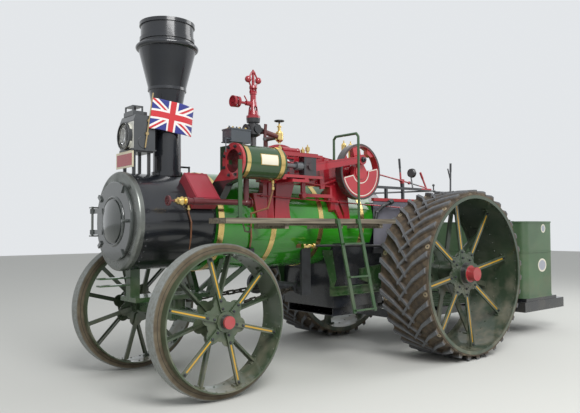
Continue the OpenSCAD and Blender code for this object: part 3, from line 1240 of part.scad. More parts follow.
rear_inner_y = rear_face_y - rear_rim_w;
rear_cap_y = rear_face_y - 8;
rear_spoke_in = 178;
module rear_place() translate([0, 0, axle_z]) children();
module rear_wheel() color(dark_green) rear_place() {
    spoke_y = [rear_inner_y + rear_spoke_in, rear_face_y - rear_spoke_in];
    r_rim = rear_rim_r - rear_rim_wall + 4;
    difference() {
        union() {
            tube_y(rear_inner_y, rear_face_y, rear_rim_r, rear_rim_r - rear_rim_wall);
            tube_y(rear_inner_y, rear_inner_y + 14, rear_rim_r - 1, rear_rim_r - 50);
            tube_y(rear_face_y - 14, rear_face_y, rear_rim_r - 1, rear_rim_r - 34);
            along_y(spoke_y[0] - 60, spoke_y[1] + 40, rear_hub_r);
            hub_plate(rear_spokes, spoke_y[1] - 7, 14, 215, 66, 10);
            hub_plate(rear_spokes, spoke_y[0] - 7, 14, 215, 66, 32.5);
            spoke_row(rear_spokes, spoke_y[1], spoke_y[1], 100, r_rim, 60, 20, 10);
            spoke_row(rear_spokes, spoke_y[0], spoke_y[0], 100, r_rim, 60, 20, 32.5);
            along_y(spoke_y[1] + 39, spoke_y[1] + 90, 104);
            along_y(spoke_y[1] + 89, rear_cap_y, 72);
        }
        along_y(rear_inner_y, rear_axle_end + move_gap, rear_axle_r + run_fit);
    }
}

// One lug as a bent bar: stations across half the rim, each with a lean along the rim.
lug_rows = [[0.02, 0, 62], [0.45, 7, 50], [0.98, 20, 44]];
module lug(side) {
    y0 = rear_face_y - rear_rim_w / 2;
    reach = rear_rim_w / 2 - 6;
    over = 60;
    r_top = axle_z;
    r_low = rear_rim_r + tyre_base - 4;
    pts = [for (row = lug_rows) let (
            y = y0 + side * (reach - row[0] * (reach + over)),
            a = row[1],
            ha_top = asin(row[2] * 0.36 / r_top),
            ha_low = asin(row[2] * 0.62 / r_low))
        for (c = [[r_low, -ha_low], [r_top, -ha_top], [r_top, ha_top], [r_low, ha_low]])
            [c[0] * sin(a + c[1]), y, c[0] * cos(a + c[1])]];
    last = len(lug_rows) * 4 - 4;
    sides = [for (s = [0 : len(lug_rows) - 2]) for (k = [0 : 3]) let (n = (k + 1) % 4)
        [s * 4 + k, s * 4 + n, s * 4 + 4 + n, s * 4 + 4 + k]];
    tris = [for (f = concat([[3, 2, 1, 0]], sides, [[last, last + 1, last + 2, last + 3]]))
        for (t = [[f[0], f[1], f[2]], [f[0], f[2], f[3]]]) side > 0 ? t : [t[2], t[1], t[0]]];
    polyhedron(pts, tris);
}
module rear_tyre() color(rubber) rear_place() {
    tube_y(rear_inner_y + 4, rear_face_y - 4, rear_rim_r + tyre_base, rear_rim_r + seat);
    for (i = [0 : lug_count - 1]) {
        rotate([0, i * 360 / lug_count, 0]) lug(1);
        rotate([0, (i + 0.5) * 360 / lug_count, 0]) lug(-1);
    }
}
place() boiler();
place() brass_trim();
place() smokebox();
place() smokebox_ring();
place() smokebox_door();
place() tool_tin();
place() firebox();
place() fire_door();
place() side_sheets();
place() chimney();
place() headlamp();
place() lamp_bracket();
place() flag();
place() cylinder_block();  // cylinder
place() engine_frame();
place() guide_bars();
place() valve_gear();
place() connecting_rod();
place() crank_disc();
place() crankshaft();
place() flywheel();
place() gear_train();
place() governor();
place() lubricator();
place() steam_pipe();
place() feed_pipes();
place() controls();
place() running_board();
place() ladder_and_rails();
place() platform();
place() water_tank();
place() tank_lid();
place() rear_axle();
place() steering_gear();
place() steering_chains();
place() perch();
place() front_axle();
place() front_wheel();  // front_left_wheel
place() front_ring();  // front_left_ring
place() right_side() front_wheel();  // front_right_wheel
place() right_side() front_ring();  // front_right_ring
place() rear_wheel();  // rear_left_wheel
place() rear_tyre();  // rear_left_tyre
place() right_side() rear_wheel();  // rear_right_wheel
place() right_side() rear_tyre();  // rear_right_tyre
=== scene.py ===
# %% [markdown]
# This file dresses a steam traction engine that was built as solids in another program. The solids
# carry every real size, so they stay as they are. Here each surface gets the paint, metal, rubber or
# timber of the real machine, and the small things are added that only show up close: rivets, bolt
# heads, lining, plates, lamp glass and a flag of real cloth.

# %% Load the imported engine
import json
import math

import bpy
import numpy as np
from mathutils import Matrix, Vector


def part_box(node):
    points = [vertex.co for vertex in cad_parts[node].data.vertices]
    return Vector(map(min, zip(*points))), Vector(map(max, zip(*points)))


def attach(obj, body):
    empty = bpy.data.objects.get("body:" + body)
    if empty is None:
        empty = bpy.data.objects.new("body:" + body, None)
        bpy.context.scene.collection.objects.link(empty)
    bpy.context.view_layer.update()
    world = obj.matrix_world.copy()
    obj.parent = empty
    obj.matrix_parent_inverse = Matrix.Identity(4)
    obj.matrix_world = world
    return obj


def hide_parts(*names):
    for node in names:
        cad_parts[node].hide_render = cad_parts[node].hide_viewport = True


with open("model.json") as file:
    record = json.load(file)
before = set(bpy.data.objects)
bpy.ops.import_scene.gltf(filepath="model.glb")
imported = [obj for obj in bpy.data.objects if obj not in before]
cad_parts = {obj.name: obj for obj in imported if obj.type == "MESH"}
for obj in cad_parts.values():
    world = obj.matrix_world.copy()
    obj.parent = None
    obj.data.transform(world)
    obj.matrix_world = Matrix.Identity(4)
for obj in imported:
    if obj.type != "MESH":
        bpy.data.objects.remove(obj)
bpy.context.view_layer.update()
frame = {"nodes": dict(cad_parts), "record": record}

# %% [markdown]
# A place is read from the solids' own boxes where they can give it: a wheel's box gives its axle's
# line, the lagging's box gives the boiler's middle line, and so on. Any other place is written as
# metres forward of the rear axle, left of the engine's middle and above the ground.

# %% Where things are
def span(node):
    """Lowest corner, highest corner and middle of a solid, as arrays in metres."""
    low, high = (np.array(corner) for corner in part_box(node))
    return low, high, (low + high) / 2


rear_low, rear_high, rear_mid = span("rear_left_wheel")
front_low, front_high, front_mid = span("front_left_wheel")
axle_x, axle_z = rear_mid[0], rear_mid[2]
front_x, front_z = front_mid[0], front_mid[2]
boiler_z = span("boiler")[2][2]
rear_rim_r = (rear_high[2] - rear_low[2]) / 2
front_rim_r = (front_high[2] - front_low[2]) / 2


def place(x, y, z):
    """A place measured from the rear axle, turned to the shared frame."""
    return (x + axle_x, y, z)


print("rear axle at", axle_x, axle_z, "front axle at", front_x, front_z)

# %% [markdown]
# The picture was taken from the engine's front left, a little below the smokebox's middle. The
# camera was worked out from the outlines of the four wheels and the boiler, and is written as a
# place and three turns: its heading, its tilt and its roll.

# %% Camera at the photograph's place
CAMERA_FROM_AXLE = (5.727, 5.055, 1.391)
HEADING, TILT, ROLL = (math.radians(a) for a in (39.922, 2.039, -0.276))
SENSOR_MM, PICTURE_PX, FOCAL_PX = 36.0, 580.0, 616.727

forward = np.array([-math.sin(HEADING) * math.cos(TILT), -math.cos(HEADING) * math.cos(TILT),
                    math.sin(TILT)])
side = np.cross(forward, (0, 0, 1))
side /= np.linalg.norm(side)
upward = np.cross(side, forward)
right = math.cos(ROLL) * side + math.sin(ROLL) * upward
above = math.cos(ROLL) * upward - math.sin(ROLL) * side

lens = bpy.data.cameras.new("portrait_camera")
lens.sensor_width = SENSOR_MM
lens.lens = SENSOR_MM * FOCAL_PX / PICTURE_PX
lens.clip_end = 200
camera = bpy.data.objects.new("portrait_camera", lens)
bpy.context.scene.collection.objects.link(camera)
pose = np.eye(4)
pose[:3, 0], pose[:3, 1], pose[:3, 2] = right, above, -forward
pose[:3, 3] = place(*CAMERA_FROM_AXLE)
camera.matrix_world = Matrix(pose.tolist())
bpy.context.scene.camera = camera
print("camera lens", round(lens.lens, 2), "mm")

# %% [markdown]
# A material is a small graph of nodes. One helper adds a node, sets what it is given and links the
# rest, so that each recipe below reads as a list of what the surface has on it. A node's sockets are
# named or counted from 0. Colours are written as they look on a screen and turned to the linear
# light that a renderer adds up.

# %% Helpers for materials
def linear(code):
    """sRGB hex colour to linear light: below 0.04045 divided by 12.92, above it the 2.4 power."""
    v = np.array([int(code[i:i + 2], 16) for i in (1, 3, 5)]) / 255
    v = np.where(v <= 0.04045, v / 12.92, ((v + 0.055) / 1.055) ** 2.4)
    return (*v.tolist(), 1.0)


def add(tree, kind, inputs=None, **settings):
    """Adds one node: settings are its properties, inputs its values or the sockets linked to it."""
    node = tree.nodes.new("ShaderNode" + kind)
    for name, value in settings.items():
        setattr(node, name, value)
    for name, value in (inputs or {}).items():
        socket = node.inputs[name]
        if isinstance(value, bpy.types.NodeSocket):
            tree.links.new(value, socket)
        else:
            socket.default_value = value
    return node


def math_of(tree, operation, *values, clamp=True):
    """One sum: the operation on the values or sockets given, held between 0 and 1 if clamp is true."""
    node = add(tree, "Math", dict(enumerate(values)), operation=operation, use_clamp=clamp)
    return node.outputs[0]


def mixed(tree, share, a, b):
    """Colour a where share is 0 and b where it is 1."""
    return add(tree, "Mix", {0: share, 6: a, 7: b}, data_type="RGBA").outputs[2]


def speckle(tree, where, scale, low, high, detail=4.0, stretch=(1, 1, 1)):
    """Noise of the given scale per metre, cut so that it is 0 below low and 1 above high."""
    placed = add(tree, "Mapping", {"Vector": where, "Scale": stretch}).outputs[0]
    noise = add(tree, "TexNoise", {"Vector": placed, "Scale": scale, "Detail": detail})
    return add(tree, "MapRange", {0: noise.outputs[0], 1: low, 2: high}).outputs[0]


def new_material(name):
    """An empty material, its tree, its shader and the socket with places in metres."""
    material = bpy.data.materials.new(name)
    material.use_nodes = True
    tree = material.node_tree
    shader = tree.nodes["Principled BSDF"]
    return material, tree, shader, add(tree, "TexCoord").outputs["Object"]


def bump(tree, shader, height, strength, distance):
    """Raises the surface by distance metres where height is 1."""
    node = add(tree, "Bump", {"Height": height, "Strength": strength, "Distance": distance})
    tree.links.new(node.outputs[0], shader.inputs["Normal"])


print("material helpers ready")

# %% [markdown]
# Some castings carry two or three colours on one solid. A zone is a box in space, or a ring round a
# wheel's axle, and a material can tell whether a place lies in it.

# %% Zones in space
ANY = 9.0  # a limit that leaves a zone open on that side


def from_axis(tree, where, x, z):
    """Distance in metres from a line along Y through x and z."""
    moved = add(tree, "Mapping", {"Vector": where, "Location": (-x, 0, -z), "Scale": (1, 0, 1)})
    return add(tree, "VectorMath", {0: moved.outputs[0]}, operation="LENGTH").outputs["Value"]


def inside(tree, where, low, high, ring=None):
    """1 where a place lies between two corners, and between the two radii of
    ring = (x, z, near, far), else 0: the product of one comparison for each limit."""
    share = None
    if ring:
        reach = from_axis(tree, where, ring[0], ring[1])
        share = math_of(tree, "MULTIPLY", math_of(tree, "GREATER_THAN", reach, ring[2]),
                        math_of(tree, "LESS_THAN", reach, ring[3]))
    parts = add(tree, "SeparateXYZ", {0: where}).outputs
    for axis in range(3):
        for limit, operation in ((low[axis], "GREATER_THAN"), (high[axis], "LESS_THAN")):
            if abs(limit) < ANY:
                test = math_of(tree, operation, parts[axis], limit)
                share = test if share is None else math_of(tree, "MULTIPLY", share, test)
    return share


def both_sides(colour, near, far, x, z, r_in, r_out):
    """The same zone on the left and the right of the machine, between two distances from its middle."""
    return [(colour, (-ANY, near, -ANY), (ANY, far, ANY), (x, z, r_in, r_out)),
            (colour, (-ANY, -far, -ANY), (ANY, -near, ANY), (x, z, r_in, r_out))]


print("zones ready")

# %% [markdown]
# Oil paint on sheet steel and castings: brushed on in several coats and varnished, so it has a deep
# gloss, faint waves from the sheet below, a little orange peel and road dust low down. One recipe
# serves all the painted parts, and each finish names its own colours, gloss and dust. Its noises
# have a scale per metre, so 1.7 is a faded area 600 mm across and 220 is orange peel of 4.5 mm.

# %% Paint
DUST = "#8a8270"
FADE, RUNS, DUST_PATCHES, SHEET_WAVES, ORANGE_PEEL = 1.7, 9.0, 6.0, 4.5, 220.0
RUN_STRETCH = (1.0, 1.0, 0.12)  # a run goes down the sheet, eight times as long as it is wide
RUN_SHARE, PEEL_SHARE, DUST_LOW, DUST_ABOVE = 0.18, 0.05, 0.1, 0.12


def paint(name, colour, shade, roughness=0.22, coat=0.6, dust=0.25, dust_top=1.4, zones=()):
    """Varnished paint: colour varied towards shade, with dust that thins out from DUST_LOW metres
    up to dust_top, where the share DUST_ABOVE of it is left. zones lists (colour, low corner,
    high corner, ring) for parts of the same solid in another paint."""
    material, tree, shader, where = new_material(name)
    slow = speckle(tree, where, FADE, 0.35, 0.7)
    base = mixed(tree, slow, linear(colour), linear(shade))
    for zone_colour, *region in zones:
        base = mixed(tree, inside(tree, where, *region), base, linear(zone_colour))
    runs = speckle(tree, where, RUNS, 0.5, 0.85, stretch=RUN_STRETCH)
    base = mixed(tree, math_of(tree, "MULTIPLY", runs, RUN_SHARE), base, linear(shade))
    height = add(tree, "SeparateXYZ", {0: where}).outputs[2]
    low_down = add(tree, "MapRange", {0: height, 1: DUST_LOW, 2: dust_top, 3: 1.0, 4: DUST_ABOVE})
    patches = speckle(tree, where, DUST_PATCHES, 0.42, 0.72, detail=8.0)
    dusty = math_of(tree, "MULTIPLY", math_of(tree, "MULTIPLY", patches, low_down.outputs[0]), dust)
    tree.links.new(mixed(tree, dusty, base, linear(DUST)), shader.inputs["Base Color"])
    rough = add(tree, "MapRange", {0: dusty, 1: 0.0, 2: 0.4, 3: roughness, 4: roughness + 0.4})
    tree.links.new(rough.outputs[0], shader.inputs["Roughness"])
    shader.inputs["Coat Weight"].default_value = coat
    shader.inputs["Coat Roughness"].default_value = 0.08
    waves = add(tree, "TexNoise", {"Vector": where, "Scale": SHEET_WAVES, "Detail": 2.0}).outputs[0]
    peel = add(tree, "TexNoise", {"Vector": where, "Scale": ORANGE_PEEL, "Detail": 1.0}).outputs[0]
    relief = math_of(tree, "ADD", waves, math_of(tree, "MULTIPLY", peel, PEEL_SHARE), clamp=False)
    bump(tree, shader, relief, strength=0.25, distance=0.004)
    return material


GREEN, GREEN_SHADE = "#2b4d27", "#223f20"
gloss_green = paint("bright_green_varnished_sheet", "#2f8f1c", "#1f7212", roughness=0.16, coat=0.8,
                    dust=0.1)
dark_green = paint("dark_green_coach_paint", GREEN, GREEN_SHADE, dust=0.45, dust_top=1.3)
engine_red = paint("red_engine_enamel", "#a61f2c", "#861824", roughness=0.24, dust=0.1)
grey_paint = paint("grey_machine_enamel", "#4c5258", "#3d4247", roughness=0.35, coat=0.2, dust=0.2)
smokebox_black = paint("black_heatproof_paint", "#202329", "#15171b", coat=0.5, dust=0.15)
print("paints:", [m.name for m in (gloss_green, dark_green, engine_red, grey_paint, smokebox_black)])

# %% [markdown]
# Bare metals keep their own colour in the highlight, so they are full metal, or partly so where oil
# and dirt lie on them, with a plain base colour that varies with tarnish in patches 140 mm across.
# Polished brass is the smoothest and forged chain the roughest.

# %% Metals
TARNISH = 7.0


def metal(name, colour, stain, roughness, stain_share=0.5, grain=90.0, depth=0.0006, metallic=1.0):
    """Metal: colour stained in patches, roughness that rises with the stain, fine surface grain."""
    material, tree, shader, where = new_material(name)
    patches = speckle(tree, where, TARNISH, 0.4, 0.75, detail=8.0)
    share = math_of(tree, "MULTIPLY", patches, stain_share)
    tree.links.new(mixed(tree, share, linear(colour), linear(stain)), shader.inputs["Base Color"])
    rough = add(tree, "MapRange", {0: share, 3: roughness, 4: min(1.0, roughness + 0.45)}).outputs[0]
    tree.links.new(rough, shader.inputs["Roughness"])
    shader.inputs["Metallic"].default_value = metallic
    fine = add(tree, "TexNoise", {"Vector": where, "Scale": grain, "Detail": 5.0}).outputs[0]
    bump(tree, shader, fine, strength=0.5, distance=depth)
    return material


brass = metal("polished_brass", "#ecd08a", "#a98448", 0.16, stain_share=0.4)
bright_steel = metal("turned_steel", "#c4c4c0", "#7d7a74", 0.2)
cast_iron = metal("oiled_cast_iron", "#4a4c4f", "#2c2a28", 0.42, grain=200.0, depth=0.0015,
                  metallic=0.6)
chain_steel = metal("forged_chain_steel", "#4b4843", "#3a2c20", 0.5, grain=120.0, metallic=0.7)
print("metals:", [m.name for m in (brass, bright_steel, cast_iron, chain_steel)])

# %% [markdown]
# The rear wheels run on rubber lugs. Rubber that has worked on roads turns blue-grey where the lugs
# touch and stays brown with dust between them, so the colour follows the distance from the axle. The
# front wheels' plain rubber rings take the same recipe, with two dark lines round their sides: a
# painted shadow line 40 mm below the tread, and a line at the tread's edge.

# %% Rubber
SCUFF_SHARE, BAND_SHARE = 0.5, 0.8


def rolled_rubber(name, x, z, worn_from, worn_to, top, base, dust_colour, bands=()):
    """Rubber whose tread, between two distances from its axle, is worn to another colour than its
    base. bands lists (distance from the axle, width, colour) of dark lines round it."""
    material, tree, shader, where = new_material(name)
    reach = from_axis(tree, where, x, z)
    worn = add(tree, "MapRange", {0: reach, 1: worn_from, 2: worn_to}).outputs[0]
    mottle = speckle(tree, where, 14.0, 0.35, 0.7, detail=8.0)
    below = mixed(tree, mottle, linear(base), linear(dust_colour))
    scuffs = speckle(tree, where, 40.0, 0.4, 0.8, detail=6.0)
    tread = mixed(tree, math_of(tree, "MULTIPLY", scuffs, SCUFF_SHARE), linear(top), linear(base))
    whole = mixed(tree, worn, below, tread)
    for middle, width, colour in bands:
        on_band = math_of(tree, "COMPARE", reach, middle, width / 2)
        whole = mixed(tree, math_of(tree, "MULTIPLY", on_band, BAND_SHARE), whole, linear(colour))
    tree.links.new(whole, shader.inputs["Base Color"])
    shader.inputs["Roughness"].default_value = 0.78
    fine = add(tree, "TexNoise", {"Vector": where, "Scale": 120.0, "Detail": 6.0}).outputs[0]
    bump(tree, shader, fine, strength=0.6, distance=0.002)
    return material


lug_top = span("rear_left_tyre")[1][2] - axle_z
rubber = rolled_rubber("lugged_tyre_rubber", axle_x, axle_z, lug_top - 0.03, lug_top - 0.004,
                       "#66696d", "#413a32", "#685a48")
ring_top = span("front_left_ring")[1][2] - front_z
guide_ring = rolled_rubber("front_tyre_rubber", front_x, front_z, ring_top - 0.012, ring_top - 0.002,
                           # first band: a painted shadow line round the ring's side; second: a grey line
                           # at the tread's edge
                           "#8b8f8c", "#594e3e", "#6f6552", bands=((ring_top - 0.040, 0.006, "#2e2a24"),
                                                                  (ring_top - 0.004, 0.003, "#4a4c4a")))
print("tread radii: rear", lug_top, "front", ring_top)

# %% [markdown]
# The running board is an old plank. Sawn timber left outside turns grey, and its grain opens into
# dark lines 17 mm apart along the plank, so the noise is stretched along X. The cloth here is only
# for the flag's plain solid, which a printed sheet replaces further down.

# %% Timber and cloth
def wood(name, colour, gap, roughness):
    """Weathered timber: long dark grain lines along X over a slowly varied grey-brown."""
    material, tree, shader, where = new_material(name)
    grain = speckle(tree, where, 60.0, 0.35, 0.75, detail=6.0, stretch=(0.04, 1.0, 1.0))
    slow = speckle(tree, where, 3.0, 0.3, 0.7)
    base = mixed(tree, slow, linear(colour), linear(DUST))
    tree.links.new(mixed(tree, grain, base, linear(gap)), shader.inputs["Base Color"])
    shader.inputs["Roughness"].default_value = roughness
    bump(tree, shader, grain, strength=0.6, distance=0.003)
    return material


def woven(name, colour, gap):
    """Cotton cloth: threads 0.6 mm apart, drawn 4 mm apart so that they show."""
    material, tree, shader, where = new_material(name)
    threads = add(tree, "TexWave", {"Vector": where, "Scale": 80.0}).outputs[1]
    tree.links.new(mixed(tree, threads, linear(colour), linear(gap)), shader.inputs["Base Color"])
    shader.inputs["Roughness"].default_value = 0.85
    shader.inputs["Sheen Weight"].default_value = 0.3
    return material


timber = wood("weathered_plank", "#7a7060", "#3a342b", 0.85)
cloth = woven("plain_flag_cotton", "#a03040", "#7a2230")
print("timber and cloth:", timber.name, cloth.name)

# %% [markdown]
# Each solid's record names the finish it takes. Solids that carry more than one colour, such as a
# green wheel with a red hub cap, get a paint of their own with zones instead, and a few plain ones
# get a shade of their own. A zone's limits come from the solids' boxes, or are measured from the
# rear axle. Two zones hold painted light: shade in the cylinder's recess and a highlight on the
# lamp's front.

# %% Places and colours that the zones share
ROD_HALF = 0.019  # half of the connecting rod's thickness over its raised edges
rear_side_y, front_side_y = rear_high[1], front_high[1]
cyl_front = span("cylinder")[1][0]
disc_low, disc_high, disc_mid = span("crank_disc")
lamp_low, lamp_high, _ = span("headlamp")
sheet_low, sheet_high, _ = span("side_sheets")
engine_z = span("crankshaft")[2][2]
engine_y = span("connecting_rod")[1][1] - ROD_HALF
RED, DARK, COLLAR = "#a8333a", "#26282a", "#2b2c2c"
EXHAUST_RED, LEVER_RED = "#5a2226", "#a02a32"
print("engine's middle line at", engine_y, engine_z)

# %% Wheels: dark hub collars and red hub caps
rear_wheel_paint = paint(
    "rear_wheel_green_road_worn", "#3b4a38", "#2c3a2a", roughness=0.3, dust=0.85, dust_top=1.1,
    zones=both_sides(COLLAR, rear_side_y - 0.14, rear_side_y - 0.088, axle_x, axle_z, 0, 0.12)
    + both_sides(RED, rear_side_y - 0.088, rear_side_y + 0.02, axle_x, axle_z, 0, 0.09))
front_wheel_paint = paint(
    "front_wheel_green_road_worn", "#43523c", "#33422e", roughness=0.3, dust=0.8, dust_top=0.8,
    zones=both_sides(COLLAR, front_side_y - 0.06, front_side_y - 0.022, front_x, front_z, 0, 0.06)
    + both_sides(RED, front_side_y - 0.022, front_side_y + 0.03, front_x, front_z, 0, 0.06))
print("wheel paints:", rear_wheel_paint.name, front_wheel_paint.name)

# %% Cylinder, crank disc, guide bars and pipes
cylinder_paint = paint(
    "cylinder_green_and_red", GREEN, GREEN_SHADE, dust=0.1,
    zones=[(RED, (cyl_front - 0.05, -ANY, -ANY), (ANY, ANY, ANY)),  # front flange
           # painted shade: the recess in the flange's middle is painted a darker red instead of being
           # shaded
           ("#571a1e", (cyl_front - 0.087, engine_y - 0.1, engine_z - 0.1),  # recess in its middle
            (cyl_front - 0.03, engine_y + 0.1, engine_z + 0.1)),
           (DARK, (cyl_front - 0.022, -ANY, -ANY), (ANY, ANY, ANY)),  # nuts on the flange
           (DARK, place(2.60, -ANY, -ANY), place(2.72, ANY, engine_z - 0.158))])  # cast foot
disc_paint = paint(
    "crank_disc_red_dark_rim", "#b5323a", "#9c2630", dust=0.05,
    zones=[("#3c3432", (-ANY, -ANY, -ANY), (ANY, ANY, ANY),  # rim
            (disc_mid[0], engine_z, (disc_high[2] - disc_low[2]) / 2 - 0.022, 1.0)),
           ("#33312f", (-ANY, disc_high[1] - 0.012, -ANY), (ANY, ANY, ANY))])  # crank pin's end
guide_paint = paint(
    "guide_bar_red_and_steel", LEVER_RED, "#842229", dust=0.1,
    zones=[("#55585b", (-ANY, -ANY, engine_z - 0.05), (ANY, ANY, engine_z + 0.05)),  # piston rod
           ("#2c2d2f", place(1.76, -ANY, engine_z - 0.088),  # crosshead
            place(1.93, ANY, engine_z + 0.088))])
steam_paint = paint(
    "steam_pipe_paints", "#5d2a28", "#4a2222", roughness=0.35, coat=0.3, dust=0.15,
    zones=[("#4c4a4a", place(2.2, -ANY, 2.05), place(2.5, ANY, 2.225)),  # foot of the governor's valve
           (DARK, place(2.3, -ANY, 2.225), place(2.6, ANY, 2.42)),  # the valve itself
           ("#25272a", place(2.0, -ANY, 2.36), place(2.16, ANY, 2.5)),  # stop valve's hand wheel
           (EXHAUST_RED, place(2.3, -ANY, 1.0), place(3.6, ANY, 1.92))])  # exhaust pipe
pipe_paint = paint(
    "pipes_black_and_copper", "#9a6a48", "#7b5036", roughness=0.3, coat=0.2, dust=0.25,
    zones=[(DARK, place(0, -ANY, -ANY), place(1.66, ANY, ANY)),  # feed pipes
           (DARK, place(2.1, -ANY, 1.1), place(2.42, ANY, 1.22))])  # small plate by the drains
print("engine paints:", cylinder_paint.name, disc_paint.name, guide_paint.name)

# %% Headlamp, its bracket, side sheets, controls, tin, tank and smokebox door
lens_back = lamp_high[0] - 0.0335
lamp_paint = paint(
    "lamp_black_japan", "#46494b", "#34373a", roughness=0.3, dust=0.2,
    # painted highlight: the lamp's lit front is painted pale
    zones=[("#d9d8cf", (lamp_high[0] - 0.036, -0.2, lamp_low[2] + 0.02),  # pale face
            (ANY, 0.2, lamp_low[2] + 0.252)),
           (DARK, (lens_back, -ANY, -ANY), (ANY, ANY, ANY)),  # rim of the lens
           ("#c9c8bd", (lens_back, -0.11, lamp_low[2] + 0.03),  # reflector
            (lamp_high[0] - 0.015, 0.11, lamp_low[2] + 0.24))])
bracket_paint = paint(
    "lamp_shelf_black_cream_plate", "#26282b", "#191b1d", roughness=0.35, dust=0.2,
    zones=[("#ddd2b0", place(3.3775, -ANY, 1.90), (ANY, ANY, ANY)),  # edge of the plate below
           ("#a08a5c", place(0, 0.1425, 2.1), (ANY, ANY, ANY))])  # flag's stick
sheet_paint = paint(
    "side_sheet_grey_purple", "#6b6a74", "#5a5963", roughness=0.35, coat=0.3, dust=0.25,
    zones=[("#a43036", (-ANY, -ANY, sheet_high[2] - 0.036), (ANY, ANY, ANY)),  # top edge
           (DARK, (-ANY, -ANY, -ANY), (ANY, ANY, sheet_low[2] + 0.2))])  # foot
control_paint = paint(
    "control_black_and_red", "#34373a", "#26282b", roughness=0.3, dust=0.1,
    zones=[(LEVER_RED, place(-0.60, -ANY, 1.862), place(-0.40, ANY, 2.2)),  # reversing lever
           (LEVER_RED, place(-0.22, -ANY, 1.925), place(0.98, 0.6, 2.06)),  # its rod to the crank
           (DARK, place(-0.33, -ANY, 2.0), place(-0.27, ANY, 2.14))])  # gauge's case
tin_paint = paint("faded_red_tin", "#a03040", "#8a3038", roughness=0.45, coat=0.2, dust=0.3)
tank_paint = paint("tank_green_matt", "#4f6a4a", "#3f583c", roughness=0.4, coat=0.35, dust=0.4)
ring_paint = metal("polished_ring_casting", "#7d807c", "#4c504d", 0.24, stain_share=0.7, grain=160.0,
                   depth=0.001, metallic=0.75)
door_paint = paint("smokebox_door_graphite", "#454a48", "#303432", roughness=0.2, coat=0.8, dust=0.12)
print("body paints:", lamp_paint.name, sheet_paint.name, tank_paint.name)

# %% [markdown]
# A solid that has a finish of its own takes that, and every other one takes what its record names.

# %% Give every solid its finish
FINISH = {
    "gloss_green": gloss_green, "dark_green": dark_green, "engine_red": engine_red,
    "smokebox_black": smokebox_black, "grey_paint": grey_paint, "cast_iron": cast_iron,
    "chain_steel": chain_steel, "bright_steel": bright_steel, "brass": brass, "rubber": rubber,
    "guide_ring": guide_ring, "timber": timber, "cloth": cloth,
}
OWN_FINISH = {
    "rear_left_wheel": rear_wheel_paint, "rear_right_wheel": rear_wheel_paint,
    "front_left_wheel": front_wheel_paint, "front_right_wheel": front_wheel_paint,
    "cylinder": cylinder_paint, "crank_disc": disc_paint, "headlamp": lamp_paint,
    "steam_pipe": steam_paint, "side_sheets": sheet_paint, "feed_pipes": pipe_paint,
    "guide_bars": guide_paint, "controls": control_paint, "tool_tin": tin_paint,
    "water_tank": tank_paint, "tank_lid": tank_paint, "smokebox_ring": ring_paint,
    "smokebox_door": door_paint, "lamp_bracket": bracket_paint,
}


def dress(node, material):
    """Puts one finish on all of a solid's material slots."""
    mesh = frame["nodes"][node].data
    mesh.materials.clear()
    mesh.materials.append(material)


for part in frame["record"]["subparts"]:
    dress(part["node"], OWN_FINISH.get(part["node"]) or FINISH[part["material_slot"]])

# %% [markdown]
# Rivets, bolt heads and painted lines are hundreds of copies of a few tiny forms: a round head, a
# six-sided nut, a round plate and a flat bar. A copy could be an object of its own, but one mesh for
# each row is far lighter. So each form is an array of corners, every copy is that array scaled,
# turned to its own surface and moved, and numpy does all the copies of a row at once.

# %% Small forms
def turned_form(rows, sides):
    """Corners and triangles of a closed turned shape on its foot, from rows of radius and height."""
    angle = np.arange(sides) * 2 * np.pi / sides
    rows = np.array(rows, float)
    rings = np.stack([np.outer(rows[:, 0], np.cos(angle)), np.outer(rows[:, 0], np.sin(angle)),
                      np.repeat(rows[:, 1:2], sides, 1)], -1).reshape(-1, 3)
    points = np.vstack([rings, [0, 0, rows[0, 1]], [0, 0, rows[-1, 1]]])
    here = np.arange(sides)
    ahead = (here + 1) % sides
    faces = []
    for ring in range(len(rows) - 1):
        low, high = ring * sides, (ring + 1) * sides
        faces += [np.stack([low + here, low + ahead, high + ahead], 1),
                  np.stack([low + here, high + ahead, high + here], 1)]
    last = (len(rows) - 1) * sides
    faces += [np.stack([np.full(sides, len(points) - 2), ahead, here], 1),
              np.stack([np.full(sides, len(points) - 1), last + here, last + ahead], 1)]
    return points, np.vstack(faces)


HEAD = turned_form([(1.0, -0.2), (1.0, 0.05), (0.82, 0.45), (0.4, 0.68)], 8)
NUT = turned_form([(1.0, -0.2), (1.0, 0.75), (0.72, 0.9), (0.5, 0.92), (0.5, 1.35), (0.3, 1.5)], 6)
DISC = turned_form([(1.0, -0.2), (1.0, 1.0)], 24)
BAR_POINTS = np.array([(x, y, z) for x in (-0.5, 0.5) for y in (-0.5, 0.5) for z in (-0.5, 0.5)])
BAR = (BAR_POINTS, np.array([(0, 1, 3), (0, 3, 2), (4, 6, 7), (4, 7, 5), (0, 4, 5), (0, 5, 1),
                             (2, 3, 7), (2, 7, 6), (0, 2, 6), (0, 6, 4), (1, 5, 7), (1, 7, 3)]))
print("corners of a head, a nut, a disc and a bar:", [len(form[0]) for form in (HEAD, NUT, DISC, BAR)])

# %% How a form is copied
def surface(name, points, faces, material, body, smooth=False):
    """A mesh object from arrays of corners and faces, riding on a body."""
    mesh = bpy.data.meshes.new(name)
    mesh.from_pydata(np.asarray(points, float).tolist(), [], np.asarray(faces).tolist())
    mesh.materials.append(material)
    mesh.polygons.foreach_set("use_smooth", np.full(len(mesh.polygons), smooth))
    thing = bpy.data.objects.new(name, mesh)
    bpy.context.scene.collection.objects.link(thing)
    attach(thing, body)
    return thing


def unit(rows):
    """Each row divided by its length."""
    rows = np.atleast_2d(np.asarray(rows, float))
    return rows / np.linalg.norm(rows, axis=1, keepdims=True)


